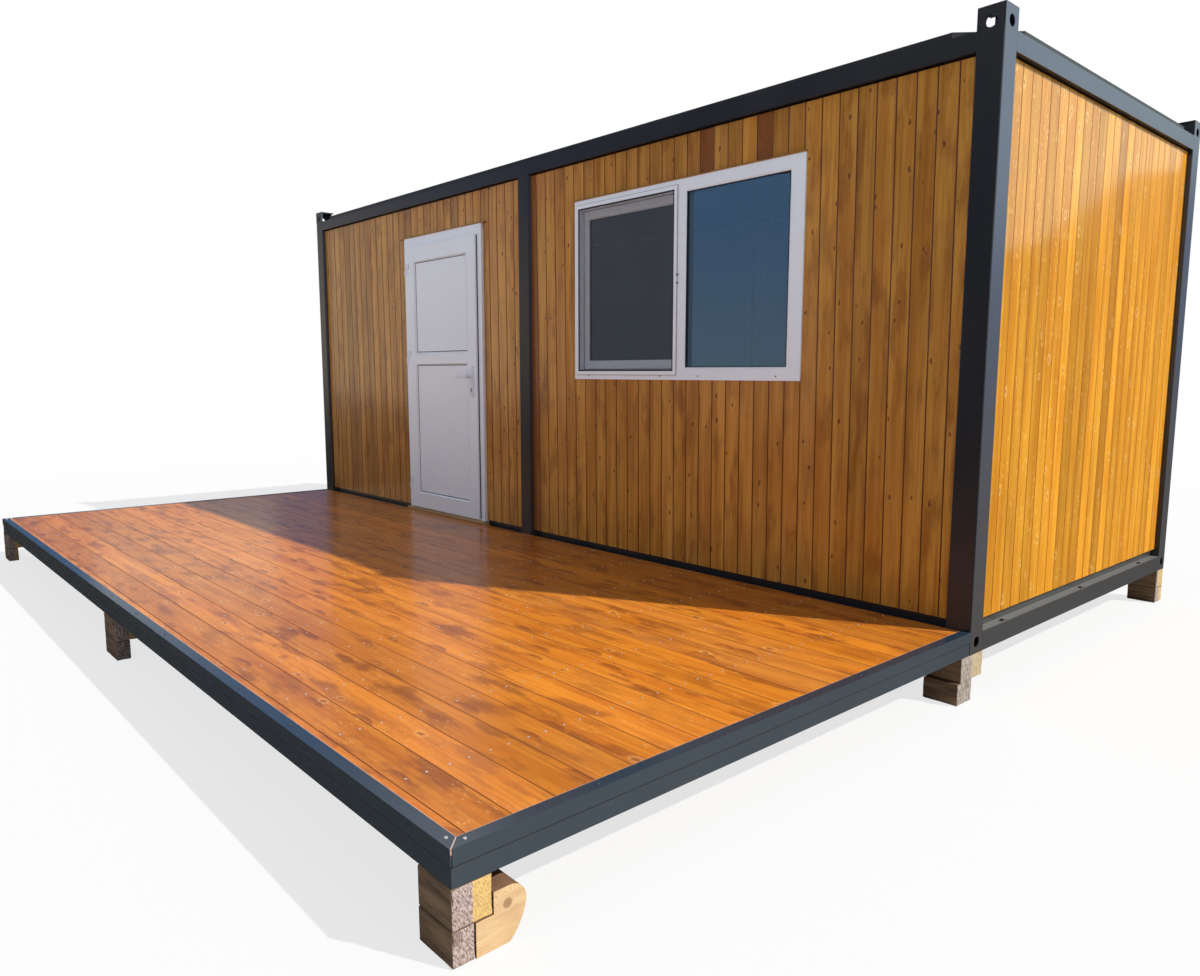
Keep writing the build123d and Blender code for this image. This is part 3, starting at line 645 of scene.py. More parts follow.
# The blue top colour is a painted sky reflection on the trim flange.
TRIM_STEEL = worn_finish(
    "anthracite trim paint", (0.036, 0.047, 0.057), (0.2, 0.22, 0.24), 0.03, 0.25, 0.18,
    bump=0.0,
    top=(0.014, 0.029, 0.048),
    Specular_IOR_Level=0.8,
)
ROOF_STEEL = worn_finish(
    "roof sheet paint", (0.012, 0.014, 0.02), (0.1, 0.1, 0.1), 0.15, 0.4, 0.35, Specular_IOR_Level=0.4
)
WHITE_PROFILE = worn_finish("white profile", (0.84, 0.91, 1.0), (0.55, 0.52, 0.52), 0.1, 0.1, 0.3, bump=0.03)
SATIN_METAL = worn_finish("satin metal", (0.74, 0.79, 0.88), (0.4, 0.38, 0.36), 0.1, 0.2, 0.3, bump=0.05)
BRIGHT_SCREWS = worn_finish(
    "zinc screws", (0.6, 0.6, 0.6), (0.3, 0.26, 0.22), 0.3, 0.3, 0.35, bump=0.1, Metallic=0.85
)
# Black for rubber gaskets, cords, clips and plugs; the same black also paints shade in holes, gaps and shadow
# lines.
BLACK_FITTINGS_AND_SHADE = worn_finish("black rubber and painted shade", (0.012, 0.012, 0.014), (0.1, 0.1, 0.1), 0.12, 0.1, 0.6)
GREY_SHADOW_LINE = worn_finish("grey painted shadow line", (0.3, 0.28, 0.29), (0.3, 0.28, 0.26), 0.1, 0.1, 0.6)
BARE_EDGE = worn_finish("bare trim edge", (0.5, 0.33, 0.28), (0.3, 0.26, 0.24), 0.2, 0.3, 0.5, bump=0.05)
WALL_LINING = worn_finish("wall lining", (0.66, 0.65, 0.62), (0.45, 0.42, 0.38), 0.15, 0.1, 0.5, bump=0.04)
FITTINGS_AND_SHADE = ("satin_metal", BLACK_FITTINGS_AND_SHADE)
RAW_TIMBER = pine_finish(
    "raw timber",
    along=0,
    across=(1, 2),
    grain={**RAW_COLOURS, "Knot Size": 0.016, "Knot Spacing": 0.3, "Blotches": 0.25, "Board Contrast": 0.2},
    Specular_IOR_Level=0.3,
)
FLOOR_SHEET = pine_finish(
    "wood effect floor",
    along=0,
    across=(1,),
    grain={**FLOOR_COLOURS, "Knot Size": 0.01, "Knot Spacing": 0.5, "Blotches": 0.2, "Board Contrast": 0.2},
    Coat_Weight=0.2,
    Coat_Roughness=0.2,
)


def any_ray(tree, *kinds):
    """1 for the rays of these kinds, 0 for others."""
    path = put(tree, "LightPath")
    seen = Value(path, kinds[0])
    for kind in kinds[1:]:
        seen = seen.math("MAXIMUM", Value(path, kind))
    return seen


def show_mix(tree, share, first, second, output="Material Output"):
    """Shows the first shader, and the second by its share."""
    mixed = put(tree, "MixShader", {0: share, 1: Value(first), 2: Value(second)})
    feed(tree.nodes[output].inputs["Surface"], Value(mixed))


def make_glass():
    """Clear double glazing with a blue sheen. Light passes it on its way into the room."""
    finish, tree, shader, place = new_finish(
        "window glass",
        Transmission_Weight=1.0,
        Roughness=0.0,
        IOR=1.5,
        Coat_Weight=1.0,
        Coat_IOR=2.3,
        Coat_Roughness=0.0,
    )
    smears = fade(speckle(place, 3.0, 4.0), 0.4, 0.8, 0.0, 0.05)
    feed(shader.inputs["Base Color"], tint(smears, (0.17, 0.3, 0.42), (0.4, 0.42, 0.45)))
    clear = put(tree, "BsdfTransparent", {"Color": (0.6, 0.7, 0.75)})
    show_mix(tree, any_ray(tree, "Is Shadow Ray"), shader, clear)
    return finish


def make_fly_screen():
    """A grey woven mesh, open between its threads."""
    finish, tree, shader, place = new_finish("fly screen mesh", Roughness=0.7, Specular_IOR_Level=0.2)
    turns = 2 * math.pi / 0.0016
    x, _, z = axes_of(place)
    upright, level = (fade((axis * turns).math("SINE"), 0.89, 0.97) for axis in (x, z))
    feed(shader.inputs["Alpha"], upright.math("MAXIMUM", level))
    feed(shader.inputs["Base Color"], tint(speckle(place, 4.0, 4.0), (0.1, 0.1, 0.11), (0.14, 0.14, 0.15)))
    return finish


def make_rough_timber():
    """Weathered sawn offcuts: brown sides, and end grain that is grey on one part and yellow on the other.

    The mesh stores each offcut's own middle-based place, and how far the yellow reaches across its end.
    """
    finish, tree, shader, place = new_finish("weathered timber", Specular_IOR_Level=0.2)
    x, y, z = axes_of(stored(tree, "offcut", "Vector"))
    yellow_share = stored(tree, "yellow")
    side = drawn_out(place, (4.0, 34.0, 34.0), 5.0, 0.65)
    side_colour = tint(fade(side, 0.3, 0.7), (0.2, 0.125, 0.07), (0.07, 0.042, 0.026))

    wobble = speckle(place, 28.0, 3.0)
    yellow = fade(wobble * 0.012 + ((yellow_share - 0.5) * 0.13 + y), 0.004, 0.01)
    from_pith = length_of(vector_of(x, y + 0.03, z + 0.09))
    rings = fade((wobble * 5.0 + from_pith * 900.0).math("SINE"), 0.1, 1.0)
    slanting = vector_of(x * 50.0, z * 100.0 + y * 240.0, y * -30.0 + z * 75.0)
    torn = speckle(slanting, 1.0, 4.0, 0.6)
    tear = fade(torn, 0.42, 0.62) * fade(yellow, 0.0, 1.0, 0.9, 0.4)
    swirl = wobble * 0.006 + oval((x * 9.0).math("SINE") * 0.02 + y, (z - 0.03) * 0.7)
    whorl = fade((swirl * 1300.0).math("SINE"), -0.4, 0.8, 0.35, 0.85)
    knotted = fade(swirl, 0.02, 0.015) * fade(yellow_share, 0.25, 0.15)
    end_colour = tint(yellow, (0.4, 0.32, 0.3), (0.56, 0.37, 0.13))
    for share, colour in (
        (stored(tree, "greyed") * 0.8, (0.26, 0.26, 0.22)),
        (rings * 0.22, (0.24, 0.13, 0.06)),
        (tear, (0.12, 0.075, 0.055)),
        (knotted * whorl, (0.13, 0.085, 0.07)),
    ):
        end_colour = tint(share, end_colour, colour)
    end_grain = fade(outward_of(tree)[0].math("ABSOLUTE"), 0.6, 0.8)
    shown = tint(end_grain, side_colour, end_colour)
    dress(shader, shown, fade(side, 0.2, 0.8, 0.75, 0.95), torn * -0.8 + side, 0.6, 0.004)
    return finish


def make_log_timber():
    """A slab sawn from a log: tan, with slanting grain and one knot."""
    finish, tree, shader, place = new_finish("log slab timber", Specular_IOR_Level=0.2)
    low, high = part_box("log_slab")
    _, y, z = axes_of(place)
    from_knot = oval(y - (low.y + 0.62 * (high.y - low.y)), z - (low.z + 0.7 * (high.z - low.z)))
    slope = y * -0.34 + (z + 0.0016 / from_knot.math("MAXIMUM", 0.02))
    lines = (speckle(place, 6.0, 2.0) * 16.0 + slope * 760.0).math("SINE")
    figure = drawn_out(place, (8.0, 9.0, 60.0), 4.0)
    bark = drawn_out(place, (9.0, 40.0, 40.0), 5.0, 0.65)
    rings = fade((from_knot * 1600.0).math("SINE"), 0.0, 1.0)
    whorl = tint(rings, (0.3, 0.17, 0.09), (0.14, 0.07, 0.04))
    colour = tint(fade(figure, 0.3, 0.7), (0.55, 0.39, 0.21), (0.46, 0.3, 0.15))
    colour = tint(fade(lines, 0.2, 1.0, 0.0, 0.3), colour, (0.3, 0.15, 0.07))
    colour = tint(fade(from_knot, 0.016, 0.01, 0.0, 0.85), colour, whorl)
    bark_colour = tint(bark, (0.24, 0.13, 0.07), (0.07, 0.04, 0.025))
    sawn = fade(outward_of(tree)[0].math("ABSOLUTE"), 0.6, 0.8)
    shown = tint(sawn, bark_colour, colour)
    dress(shader, shown, fade(figure, 0.2, 0.8, 0.75, 0.95), lines * 0.2 + bark, 0.4, 0.003)
    return finish


GLASS = make_glass()
FLY_SCREEN = make_fly_screen()
ROUGH_TIMBER = make_rough_timber()
LOG_TIMBER = make_log_timber()

NODE_FINISHES = {
    "frame_paint": STEEL,
    "structural_timber": RAW_TIMBER,
    "floor_sheet": FLOOR_SHEET,
    "wall_panel": WALL_LINING,
    "varnished_cladding": WALL_PINE,
    "varnished_deck": DECK_PINE,
    "white_plastic": WHITE_PROFILE,
    "pane_glass": GLASS,
    "satin_metal": SATIN_METAL,
    "weathered_timber": ROUGH_TIMBER,
}
OWN_FINISHES = {
    "bottom_rails_end": LEDGE_STEEL,
    "deck_trims": TRIM_STEEL,
    "deck_beams_long": TRIM_STEEL,
    "deck_beams_end": TRIM_STEEL,
    "roof_cover": ROOF_STEEL,
    "log_slab": LOG_TIMBER,
}
for subpart in frame["record"]["subparts"]:
    node = frame["nodes"][subpart["node"]]
    node.data.materials.clear()
    node.data.materials.append(OWN_FINISHES.get(subpart["node"], NODE_FINISHES[subpart["material_slot"]]))


# ------ wall boards

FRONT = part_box("front_cladding")
BOARD_FOOT, BOARD_HEAD = FRONT[0].z, FRONT[1].z
WALL_FACE = FRONT[0].y
BOARD_THICKNESS = FRONT[1].y - WALL_FACE
BAY_END = FRONT[1].x
BAY_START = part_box("mid_posts")[1].x + 0.002
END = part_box("end_cladding")
END_FACE, END_START, END_STOP = END[1].x, END[0].y, END[1].y
REAR_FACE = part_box("rear_cladding")[1].y
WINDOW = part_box("window_frame")
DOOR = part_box("door_frame")
DOOR_CLEARANCE = 0.002
FLANGE_COVER = 0.012
JOINT = 0.0014
# The tone of boards darkened to brown: dark-stained boards, and painted shade beside the corner post.
DARK_STAIN_AND_SHADE = 0.98


def remember(piece, name, values):
    """Stores a number on each face."""
    layer = piece.data.attributes.new(name, "FLOAT", "FACE")
    for i, value in enumerate(values):
        layer.data[i].value = value


def lay_boards(board, count, step, seed, show_face):
    """Repeats a board in a row, each with a tone of its own. All but the face it shows counts as groove."""
    shown = Vector(show_face)
    faces = board.data.polygons
    remember(board, "groove", [0.0 if face.normal.dot(shown) > 0.99 else 1.0 for face in faces])
    faces_each = len(faces)
    row(board, count, step)
    chance = random.Random(seed)
    tones = [chance.uniform(0.1, 0.9) + i for i in range(count)]
    remember(board, "board", [tones[i // faces_each] for i in range(len(board.data.polygons))])


def new_tones(piece, seed, test, dark=(), spread=(0.1, 0.9)):
    """Gives the boards whose faces pass the test their own figure and a tone from the spread, as for separate
    lengths; boards in a dark range take the darkest tone.
    """
    chance = random.Random(seed)
    layer = piece.data.attributes["board"]
    tones = {}
    for face in piece.data.polygons:
        if not test(face.center):
            continue
        old = layer.data[face.index].value
        if old not in tones:
            tones[old] = math.floor(old) + 100 + chance.uniform(*spread)
        tone = tones[old]
        if any(low < face.center.x < high for low, high in dark):
            tone = math.floor(tone) + DARK_STAIN_AND_SHADE
        layer.data[face.index].value = tone


def board_wall(name, start, stop, first_seam, pitch, lean, turn, shift, seed):
    """A wall of upright boards with bevelled joints, sawn off square at the edges of its bay.

    It is laid out facing -Y with its outer face on Y = 0, then turned and shifted to its wall.
    """
    first = first_seam - pitch * math.ceil((first_seam - start) / pitch + 1)
    count = math.ceil((stop - first) / pitch) + 1
    over = 0.06
    wall = block(
        name,
        (first + JOINT / 2, 0, BOARD_FOOT - over),
        (first + pitch - JOINT / 2, BOARD_THICKNESS, BOARD_HEAD + over),
    )
    bevel_edges(wall, 0.003, lambda middle, way: abs(way.z) > 0.9 and middle.y < 0.001)
    lay_boards(wall, count, (pitch, 0, 0), seed, (0, -1, 0))
    take(wall)
    middle = Vector(((start + stop) / 2, 0, (BOARD_FOOT + BOARD_HEAD) / 2))
    bpy.ops.transform.rotate(value=lean, orient_axis="Y", center_override=middle)
    settle(wall)
    saw_off(
        wall,
        [
            ((start, 0, 0), (-1, 0, 0)),
            ((stop, 0, 0), (1, 0, 0)),
            ((0, 0, BOARD_FOOT), (0, 0, -1)),
            ((0, 0, BOARD_HEAD), (0, 0, 1)),
        ],
    )
    wall.data.transform(Matrix.Translation(shift) @ Matrix.Rotation(turn, 4, "Z"))
    return wall


def over_window(x):
    return WINDOW[0].x < x < WINDOW[1].x


front_left = board_wall(
    "front_boards_left", -BAY_END, -BAY_START, -2.524, 0.0921, 0.0055, AT_FRONT, (0, WALL_FACE, 0), 3
)
cut_away(
    front_left,
    (DOOR[0].x - DOOR_CLEARANCE, 0, 0),
    (DOOR[1].x + DOOR_CLEARANCE, 0.1, DOOR[1].z + DOOR_CLEARANCE),
)
new_tones(front_left, 5, lambda centre: DOOR[0].x < centre.x < DOOR[1].x)
front_right = board_wall(
    "front_boards_right", BAY_START, BAY_END, 0.116, 0.09053, 0.011, AT_FRONT, (0, WALL_FACE, 0), 8
)
cut_away(
    front_right,
    (WINDOW[0].x + FLANGE_COVER, 0, WINDOW[0].z + FLANGE_COVER),
    (WINDOW[1].x - FLANGE_COVER, 0.1, WINDOW[1].z - FLANGE_COVER),
)
# Boards over the window get their own tones. Boards left of and below the window take lighter tones, boards
# right of it darker tones.
for seed, dark, spread, test in (
    (19, ((1.45, 1.54), (1.81, 1.9)), (0.1, 0.9), lambda at: over_window(at.x) and at.z > WINDOW[1].z - 0.02),
    (31, (), (0.6, 0.93), lambda at: at.x < WINDOW[0].x and at.z < WINDOW[1].z),
    (33, (), (0.5, 0.93), lambda at: over_window(at.x) and at.z < WINDOW[0].z),
    (35, (), (0.1, 0.75), lambda at: at.x > WINDOW[1].x),
    # The first board beside the corner post takes the darkest tone: painted shade of the post.
    (21, ((0, 0.107),), (0.1, 0.9), lambda at: at.x < 0.107),
):
    new_tones(front_right, seed, test, dark, spread)
for wall in (front_left, front_right):
    fit(wall, "cabin", "varnished_cladding", WALL_PINE, ["front_cladding"])

right_end = board_wall(
    "right_end_boards", END_START, END_STOP, 0.147, 0.09207, 0.0, AT_RIGHT_END, (END_FACE, 0, 0), 11
)
# Boards towards the rear take lighter tones, boards towards the front darker tones.
new_tones(right_end, 37, lambda at: at.y > 1.5, spread=(0.4, 0.9))
new_tones(right_end, 39, lambda at: at.y < 0.6, spread=(0.1, 0.6))
left_end = board_wall(
    "left_end_boards", -END_STOP, -END_START, -2.33, 0.09207, 0.004, AT_LEFT_END, (-END_FACE, 0, 0), 17
)
for wall in (right_end, left_end):
    fit(wall, "cabin", "varnished_cladding", SUNLIT_END_PINE, ["end_cladding"])

rear_left = board_wall(
    "rear_boards_left", BAY_START, BAY_END, 0.12, 0.0915, 0.006, AT_REAR, (0, REAR_FACE, 0), 23
)
rear_right = board_wall(
    "rear_boards_right", -BAY_END, -BAY_START, -2.85, 0.0915, -0.004, AT_REAR, (0, REAR_FACE, 0), 29
)
for wall in (rear_left, rear_right):
    fit(wall, "cabin", "varnished_cladding", WALL_PINE, ["rear_cladding"])

# ------ deck

DECK_LOW, DECK_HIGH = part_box("deck_boards")
DECK_FIRST = 0.0108
DECK_PITCH = 0.1343
DECK_COUNT = 19
DECK_GAP = 0.0012
plank = block(
    "deck_planks",
    (DECK_LOW.x, DECK_FIRST - DECK_PITCH + DECK_GAP / 2, DECK_LOW.z),
    (DECK_HIGH.x, DECK_FIRST - DECK_GAP / 2, DECK_HIGH.z),
)
bevel_edges(plank, 0.0018, lambda middle, way: abs(way.x) > 0.9 and middle.z > DECK_HIGH.z - 0.001)
lay_boards(plank, DECK_COUNT, (0, -DECK_PITCH, 0), 41, (0, 0, 1))
saw_off(plank, [((0, DECK_LOW.y, 0), (0, -1, 0)), ((0, DECK_HIGH.y, 0), (0, 1, 0))])
fit(plank, "cabin", "varnished_deck", DECK_PINE, ["deck_boards"])

SCREW_ROWS = 15
SCREW_PITCH = 0.3835
LAST_SCREW = 2.621
SCREW_IN, SCREW_SPACING = 0.037, 0.072
screw_start = (LAST_SCREW - (SCREW_ROWS - 1) * SCREW_PITCH, DECK_FIRST - SCREW_IN, DECK_HIGH.z + 0.0004)
screw = round_bar("deck_screws", screw_start, 0.0038, 0.002, "Z", 10)
pick_faces(screw, lambda middle, out: out.z > 0.9)
bpy.ops.mesh.inset(thickness=0.0015)
bpy.ops.transform.translate(value=(0, 0, -0.0007))
let_go()
row(screw, 2, (0, SCREW_SPACING - DECK_PITCH, 0))
row(screw, DECK_COUNT - 1, (0, -DECK_PITCH, 0))
row(screw, SCREW_ROWS, (SCREW_PITCH, 0, 0))
fit(screw, "cabin", "satin_metal", BRIGHT_SCREWS)

# ------ window and door fittings

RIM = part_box("screen_rim")
RIM_BAR = 0.02
mesh_low = Vector((RIM[0].x + RIM_BAR, RIM[0].y + 0.002, RIM[0].z + RIM_BAR))
mesh_high = Vector((RIM[1].x - RIM_BAR, RIM[0].y + 0.0026, RIM[1].z - RIM_BAR))
screen = block("fly_screen", mesh_low, mesh_high)
fit(screen, "cabin", "satin_metal", FLY_SCREEN)


def rubber_ring(name, low, high, out, width, front, back):
    """A flat ring, upright in the front, used for rubber gaskets and for painted shadow lines.

    The X and Z of its corners, grown by out, are its outer edge, and width is how wide its strips are.
    """
    through = 0.01
    left, foot, right, head = low.x - out, low.z - out, high.x + out, high.z + out
    return cut_away(
        block(name, (left, front, foot), (right, back, head)),
        (left + width, front - through, foot + width),
        (right - width, back + through, head - width),
    )


# Grey ring round the screen rim: painted shadow line along its outer edge.
rim_shadow_line = rubber_ring("screen_rim_shadow_line", *RIM, 0.003, 0.006, RIM[0].y + 0.003, RIM[0].y + 0.006)
fit(rim_shadow_line, "cabin", "satin_metal", GREY_SHADOW_LINE)
screen_cord = rubber_ring(
    "fly_screen_cord", mesh_low, mesh_high, 0.0003, 0.0085, RIM[0].y + 0.0008, RIM[0].y + 0.004
)
fit(screen_cord, "cabin", *FITTINGS_AND_SHADE)

STRIP_PROUD = 0.006
window_strip = block(
    "window_head_strip",
    (WINDOW[0].x - 0.006, WINDOW[0].y - STRIP_PROUD, WINDOW[1].z),
    (WINDOW[1].x + 0.004, WALL_FACE, WINDOW[1].z + 0.006),
)
door_strip = block(
    "door_head_strip",
    (DOOR[0].x - 0.07, DOOR[0].y - STRIP_PROUD, DOOR[1].z),
    (DOOR[1].x + 0.045, WALL_FACE, DOOR[1].z + 0.008),
)
for strip, rounding in ((window_strip, 0.001), (door_strip, 0.0015)):
    fit(soften(strip, rounding), "cabin", "varnished_cladding", WALL_PINE)

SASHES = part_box("window_sashes")
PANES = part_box("window_glass")
REAR_SASH_FACE = SASHES[1].y - 0.028
REAR_SASH_HIGH = Vector((RIM[1].x + 0.018, 0, SASHES[1].z))
RIGHT_PANE_LOW = Vector((1.378, 0, PANES[0].z))
PANE_FACE = PANES[0].y
# Black ring round the rear sash: painted shade in the gap between casing and sash. Black ring round the right
# pane: its glazing gasket, drawn dark also as the shadow of its gap.
sash_shadow_line = rubber_ring(
    "line", SASHES[0], REAR_SASH_HIGH, -0.006, 0.007, REAR_SASH_FACE - 0.0008, REAR_SASH_FACE + 0.001
)
pane_line = rubber_ring(
    "line", RIGHT_PANE_LOW, PANES[1], 0.0005, 0.0045, PANE_FACE - 0.004, PANE_FACE - 0.0005
)
fit(join("window_gaskets_and_shadow_lines", [sash_shadow_line, pane_line]), "cabin", *FITTINGS_AND_SHADE)

clip = block("mullion_clips", (1.322, RIM[0].y - 0.006, 1.852), (1.332, RIM[0].y, 1.862))
soften(clip, 0.002)
row(clip, 2, (0, 0, -0.042))
fit(clip, "cabin", *FITTINGS_AND_SHADE)

SILL_SCREWS = (0.608, 1.197, 1.474, 1.974)
SILL_SCREW_HEIGHT = 1.328
sill_places = [(x, WINDOW[0].y, SILL_SCREW_HEIGHT) for x in SILL_SCREWS]
sill_screws = [round_bar("sill_screw", place, 0.004, 0.003, "Y", 12) for place in sill_places]
fit(soften(join("window_sill_screws", sill_screws), 0.0008), "cabin", *FITTINGS_AND_SHADE)

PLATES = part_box("lock_plates")
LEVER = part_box("lever_handle")
KEY_HEIGHT = (LEVER[0].z + LEVER[1].z) / 2 - 0.085
KEY_PROUD = 0.003
KEY_X = (PLATES[0].x + PLATES[1].x) / 2
FOOT_HALF_WIDTH, FOOT_HALF_DEPTH = 0.0045, 0.0006
# Black disc over the cylinder face: painted dark reflection on its chrome. Black strip below it: painted
# shade in the key slot.
painted_keyholes = []
for boss_y, inward in ((PLATES[0].y, 1), (PLATES[1].y, -1)):
    painted_keyholes.append(round_bar("keyhole", (KEY_X, boss_y, KEY_HEIGHT), 0.0078, 0.001, "Y", 20))
    plate_y = boss_y + inward * KEY_PROUD
    foot = block(
        "cylinder_foot",
        (KEY_X - FOOT_HALF_WIDTH, plate_y - FOOT_HALF_DEPTH, KEY_HEIGHT - 0.021),
        (KEY_X + FOOT_HALF_WIDTH, plate_y + FOOT_HALF_DEPTH, KEY_HEIGHT - 0.0075),
    )
    painted_keyholes.append(foot)
fit(join("painted_keyholes", painted_keyholes), "door", *FITTINGS_AND_SHADE)

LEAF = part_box("door_leaf")
LAP_BACK = LEAF[0].y + 0.013
leaf_seal = rubber_ring("door_leaf_seal", *LEAF, -0.0015, 0.0075, LAP_BACK - 0.0005, DOOR[0].y - 0.0008)
fit(leaf_seal, "door", *FITTINGS_AND_SHADE)

PANEL_BORDER, PANEL_TAPER, PANEL_DEPTH = 0.11, 0.024, 0.024
MIDDLE_BAR = (1.41, 1.485)
SKIN_DEPTH, SKIN_THICK, SKIN_GAP = 0.009, 0.007, 0.0012
SKIN_FACE = LEAF[0].y + 0.003 + SKIN_DEPTH
inset = PANEL_BORDER + PANEL_TAPER * SKIN_DEPTH / PANEL_DEPTH + SKIN_GAP
bar_inset = inset - PANEL_BORDER
panel_skins, panel_rings = [], []
for foot, head in (
    (LEAF[0].z + inset, MIDDLE_BAR[0] - bar_inset),
    (MIDDLE_BAR[1] + bar_inset, LEAF[1].z - inset),
):
    low, high = Vector((LEAF[0].x + inset, SKIN_FACE, foot)), Vector((LEAF[1].x - inset, SKIN_FACE, head))
    skin = block("skin", low + Vector((0.001, 0, 0.001)), high + Vector((-0.001, SKIN_THICK, -0.001)))
    panel_skins.append(soften(skin, 0.0015))
    panel_rings.append(rubber_ring("bead", low, high, 0, 0.0045, SKIN_FACE - 0.001, SKIN_FACE + 0.003))
fit(join("door_panels", panel_skins), "door", "white_plastic", WHITE_PROFILE)
fit(join("door_panel_gaskets", panel_rings), "door", *FITTINGS_AND_SHADE)

# Black strip beside the latch edge of the leaf: painted shade on the side of the leaf's lap.
latch_shadow_strip = block(
    "door_latch_shadow_strip",
    (LEAF[1].x + 0.0012, DOOR[0].y - 0.004, LEAF[0].z + 0.003),
    (LEAF[1].x + 0.0062, DOOR[0].y + 0.001, LEAF[1].z - 0.003),
)
fit(soften(latch_shadow_strip, 0.001), "cabin", *FITTINGS_AND_SHADE)

# ------ steel details

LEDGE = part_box("bottom_rails_end")
LEDGE_TOP = 0.28
LEDGE_X = LEDGE[1].x - 0.016
CLIP_PLACES = (0.336, 1.222, 2.075)
# Black discs on the ledge: painted shade standing in for its drain holes.
ledge_holes, ledge_tabs = [], []
for y in CLIP_PLACES:
    for x in (-LEDGE_X, LEDGE_X):
        ledge_holes.append(round_bar("hole", (x, y - 0.02, LEDGE_TOP), 0.008, 0.002, "Z", 16))
    tab_low = (LEDGE_X - 0.009, y - 0.008, LEDGE_TOP - 0.001)
    tab_high = (LEDGE_X + 0.009, y + 0.026, LEDGE_TOP + 0.007)
    ledge_tabs += [soften(tab, 0.003, 3) for tab in pair("tab", tab_low, tab_high)]
fit(join("ledge_holes", ledge_holes), "cabin", "frame_paint", BLACK_FITTINGS_AND_SHADE)
fit(join("ledge_tabs", ledge_tabs), "cabin", "frame_paint", LEDGE_STEEL)

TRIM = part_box("deck_trims")
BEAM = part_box("deck_beams_long")
TRIM_FLANGE = 0.04
# A thin black strip under the lower edge of the trim: painted shadow line where the trim meets the deck beam.
SEAM_PROUD = 0.0012
seam_foot, seam_head = TRIM[0].z - 0.0035, TRIM[0].z + 0.0005
front_seam = block(
    "seam",
    (BEAM[0].x - SEAM_PROUD, BEAM[0].y - SEAM_PROUD, seam_foot),
    (BEAM[1].x + SEAM_PROUD, BEAM[0].y + 0.002, seam_head),
)
side_low = (BEAM[1].x - 0.002, BEAM[0].y, seam_foot)
side_seams = pair("seam", side_low, (BEAM[1].x + SEAM_PROUD, TRIM[1].y, seam_head))
fit(join("trim_seam_shadows", [front_seam, *side_seams]), "cabin", "frame_paint", BLACK_FITTINGS_AND_SHADE)

MITRE_HALF_WIDTH = 0.0016
mitre_length = TRIM_FLANGE * math.sqrt(2) - 0.002
mitres = []
for side in (-1, 1):
    edge = block("mitre", (-MITRE_HALF_WIDTH, 0, -0.014), (MITRE_HALF_WIDTH, mitre_length, 0.0004))
    corner = Vector((side * (TRIM[1].x - 0.001), TRIM[0].y + 0.001, TRIM[1].z))
    soften(edge, 0.0004, 1)
    edge.data.transform(Matrix.Translation(corner) @ Matrix.Rotation(side * math.pi / 4, 4, "Z"))
    mitres.append(edge)
fit(join("trim_mitres", mitres), "cabin", "frame_paint", BARE_EDGE)

INNER_EDGE = 0.0018
deck_side = TRIM[0].y + TRIM_FLANGE
edge_x = TRIM[1].x - TRIM_FLANGE
edge_foot, edge_head = TRIM[1].z - 0.0015, TRIM[1].z - 0.0004
front_low = (TRIM[0].x + TRIM_FLANGE, deck_side - 0.0004, edge_foot)
front_edge = block("edge", front_low, (edge_x, deck_side + INNER_EDGE, edge_head))
side_edges = pair("edge", (edge_x - INNER_EDGE, deck_side, edge_foot), (edge_x + 0.0004, -0.002, edge_head))
fit(join("trim_inner_edges", [front_edge, *side_edges]), "cabin", "frame_paint", BARE_EDGE)


def trim_screw_heads(name, places, finish):
    """Small domed heads on the flange of the deck trim."""
    heads = []
    for x, y in places:
        head = round_bar("head", (x, y, TRIM[1].z + 0.0012), 0.005, 0.003, "Z", 16)
        bevel_edges(head, 0.0018, lambda middle, way: middle.z > TRIM[1].z + 0.0026)
        heads.append(head)
    fit(join(name, heads), "cabin", "satin_metal", finish)


FLANGE_MIDDLE = 0.021
CORNER_SCREW_IN = 0.052
FRONT_SCREW_PITCH = 0.415
screw_x, screw_y = TRIM[1].x - FLANGE_MIDDLE, TRIM[0].y + FLANGE_MIDDLE
corner_places = []
painted_places = [(step * FRONT_SCREW_PITCH, screw_y) for step in range(-6, 7)]
for side in (-1, 1):
    corner_places.append((side * (TRIM[1].x - CORNER_SCREW_IN), screw_y))
    corner_places.append((side * screw_x, TRIM[0].y + CORNER_SCREW_IN))
    for along in (0.46, 0.87, 1.28, 1.69, 2.1, 2.4):
        painted_places.append((side * screw_x, TRIM[0].y + along))
trim_screw_heads("trim_corner_screws", corner_places, BRIGHT_SCREWS)
trim_screw_heads("trim_painted_screws", painted_places, TRIM_STEEL)

WELD_WIDTH, WELD_REACH, WELD_BURIED, WELD_INSET = 0.007, 0.008, 0.0004, 0.0006
RAIL_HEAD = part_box("top_rails_long")[1].z
RAIL_BANDS = ((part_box("bottom_rails_long")[0].z, LEDGE_TOP), (RAIL_HEAD - 0.075, RAIL_HEAD))
POST_LOW, POST_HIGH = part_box("corner_post_front_right")
CABIN_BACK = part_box("corner_post_rear_right")[1].y
FACE_BANDS = (
    (POST_LOW.y + WELD_BURIED, POST_LOW.y + WELD_REACH),
    (CABIN_BACK - WELD_REACH, CABIN_BACK - WELD_BURIED),
)
welds = []
for foot, head in RAIL_BANDS:
    foot, head = foot + WELD_INSET, head - WELD_INSET
    for outer, inner in FACE_BANDS:
        welds += pair("weld", (POST_LOW.x - WELD_WIDTH, outer, foot), (POST_LOW.x + WELD_WIDTH, inner, head))
    for y in (POST_HIGH.y, CABIN_BACK - (POST_HIGH.y - POST_LOW.y)):
        weld_low = (POST_HIGH.x - WELD_REACH, y - WELD_WIDTH, foot)
        weld_high = (POST_HIGH.x - WELD_BURIED, y + WELD_WIDTH, head)
        welds += pair("weld", weld_low, weld_high)
fit(join("corner_welds", welds), "cabin", "frame_paint", STEEL)

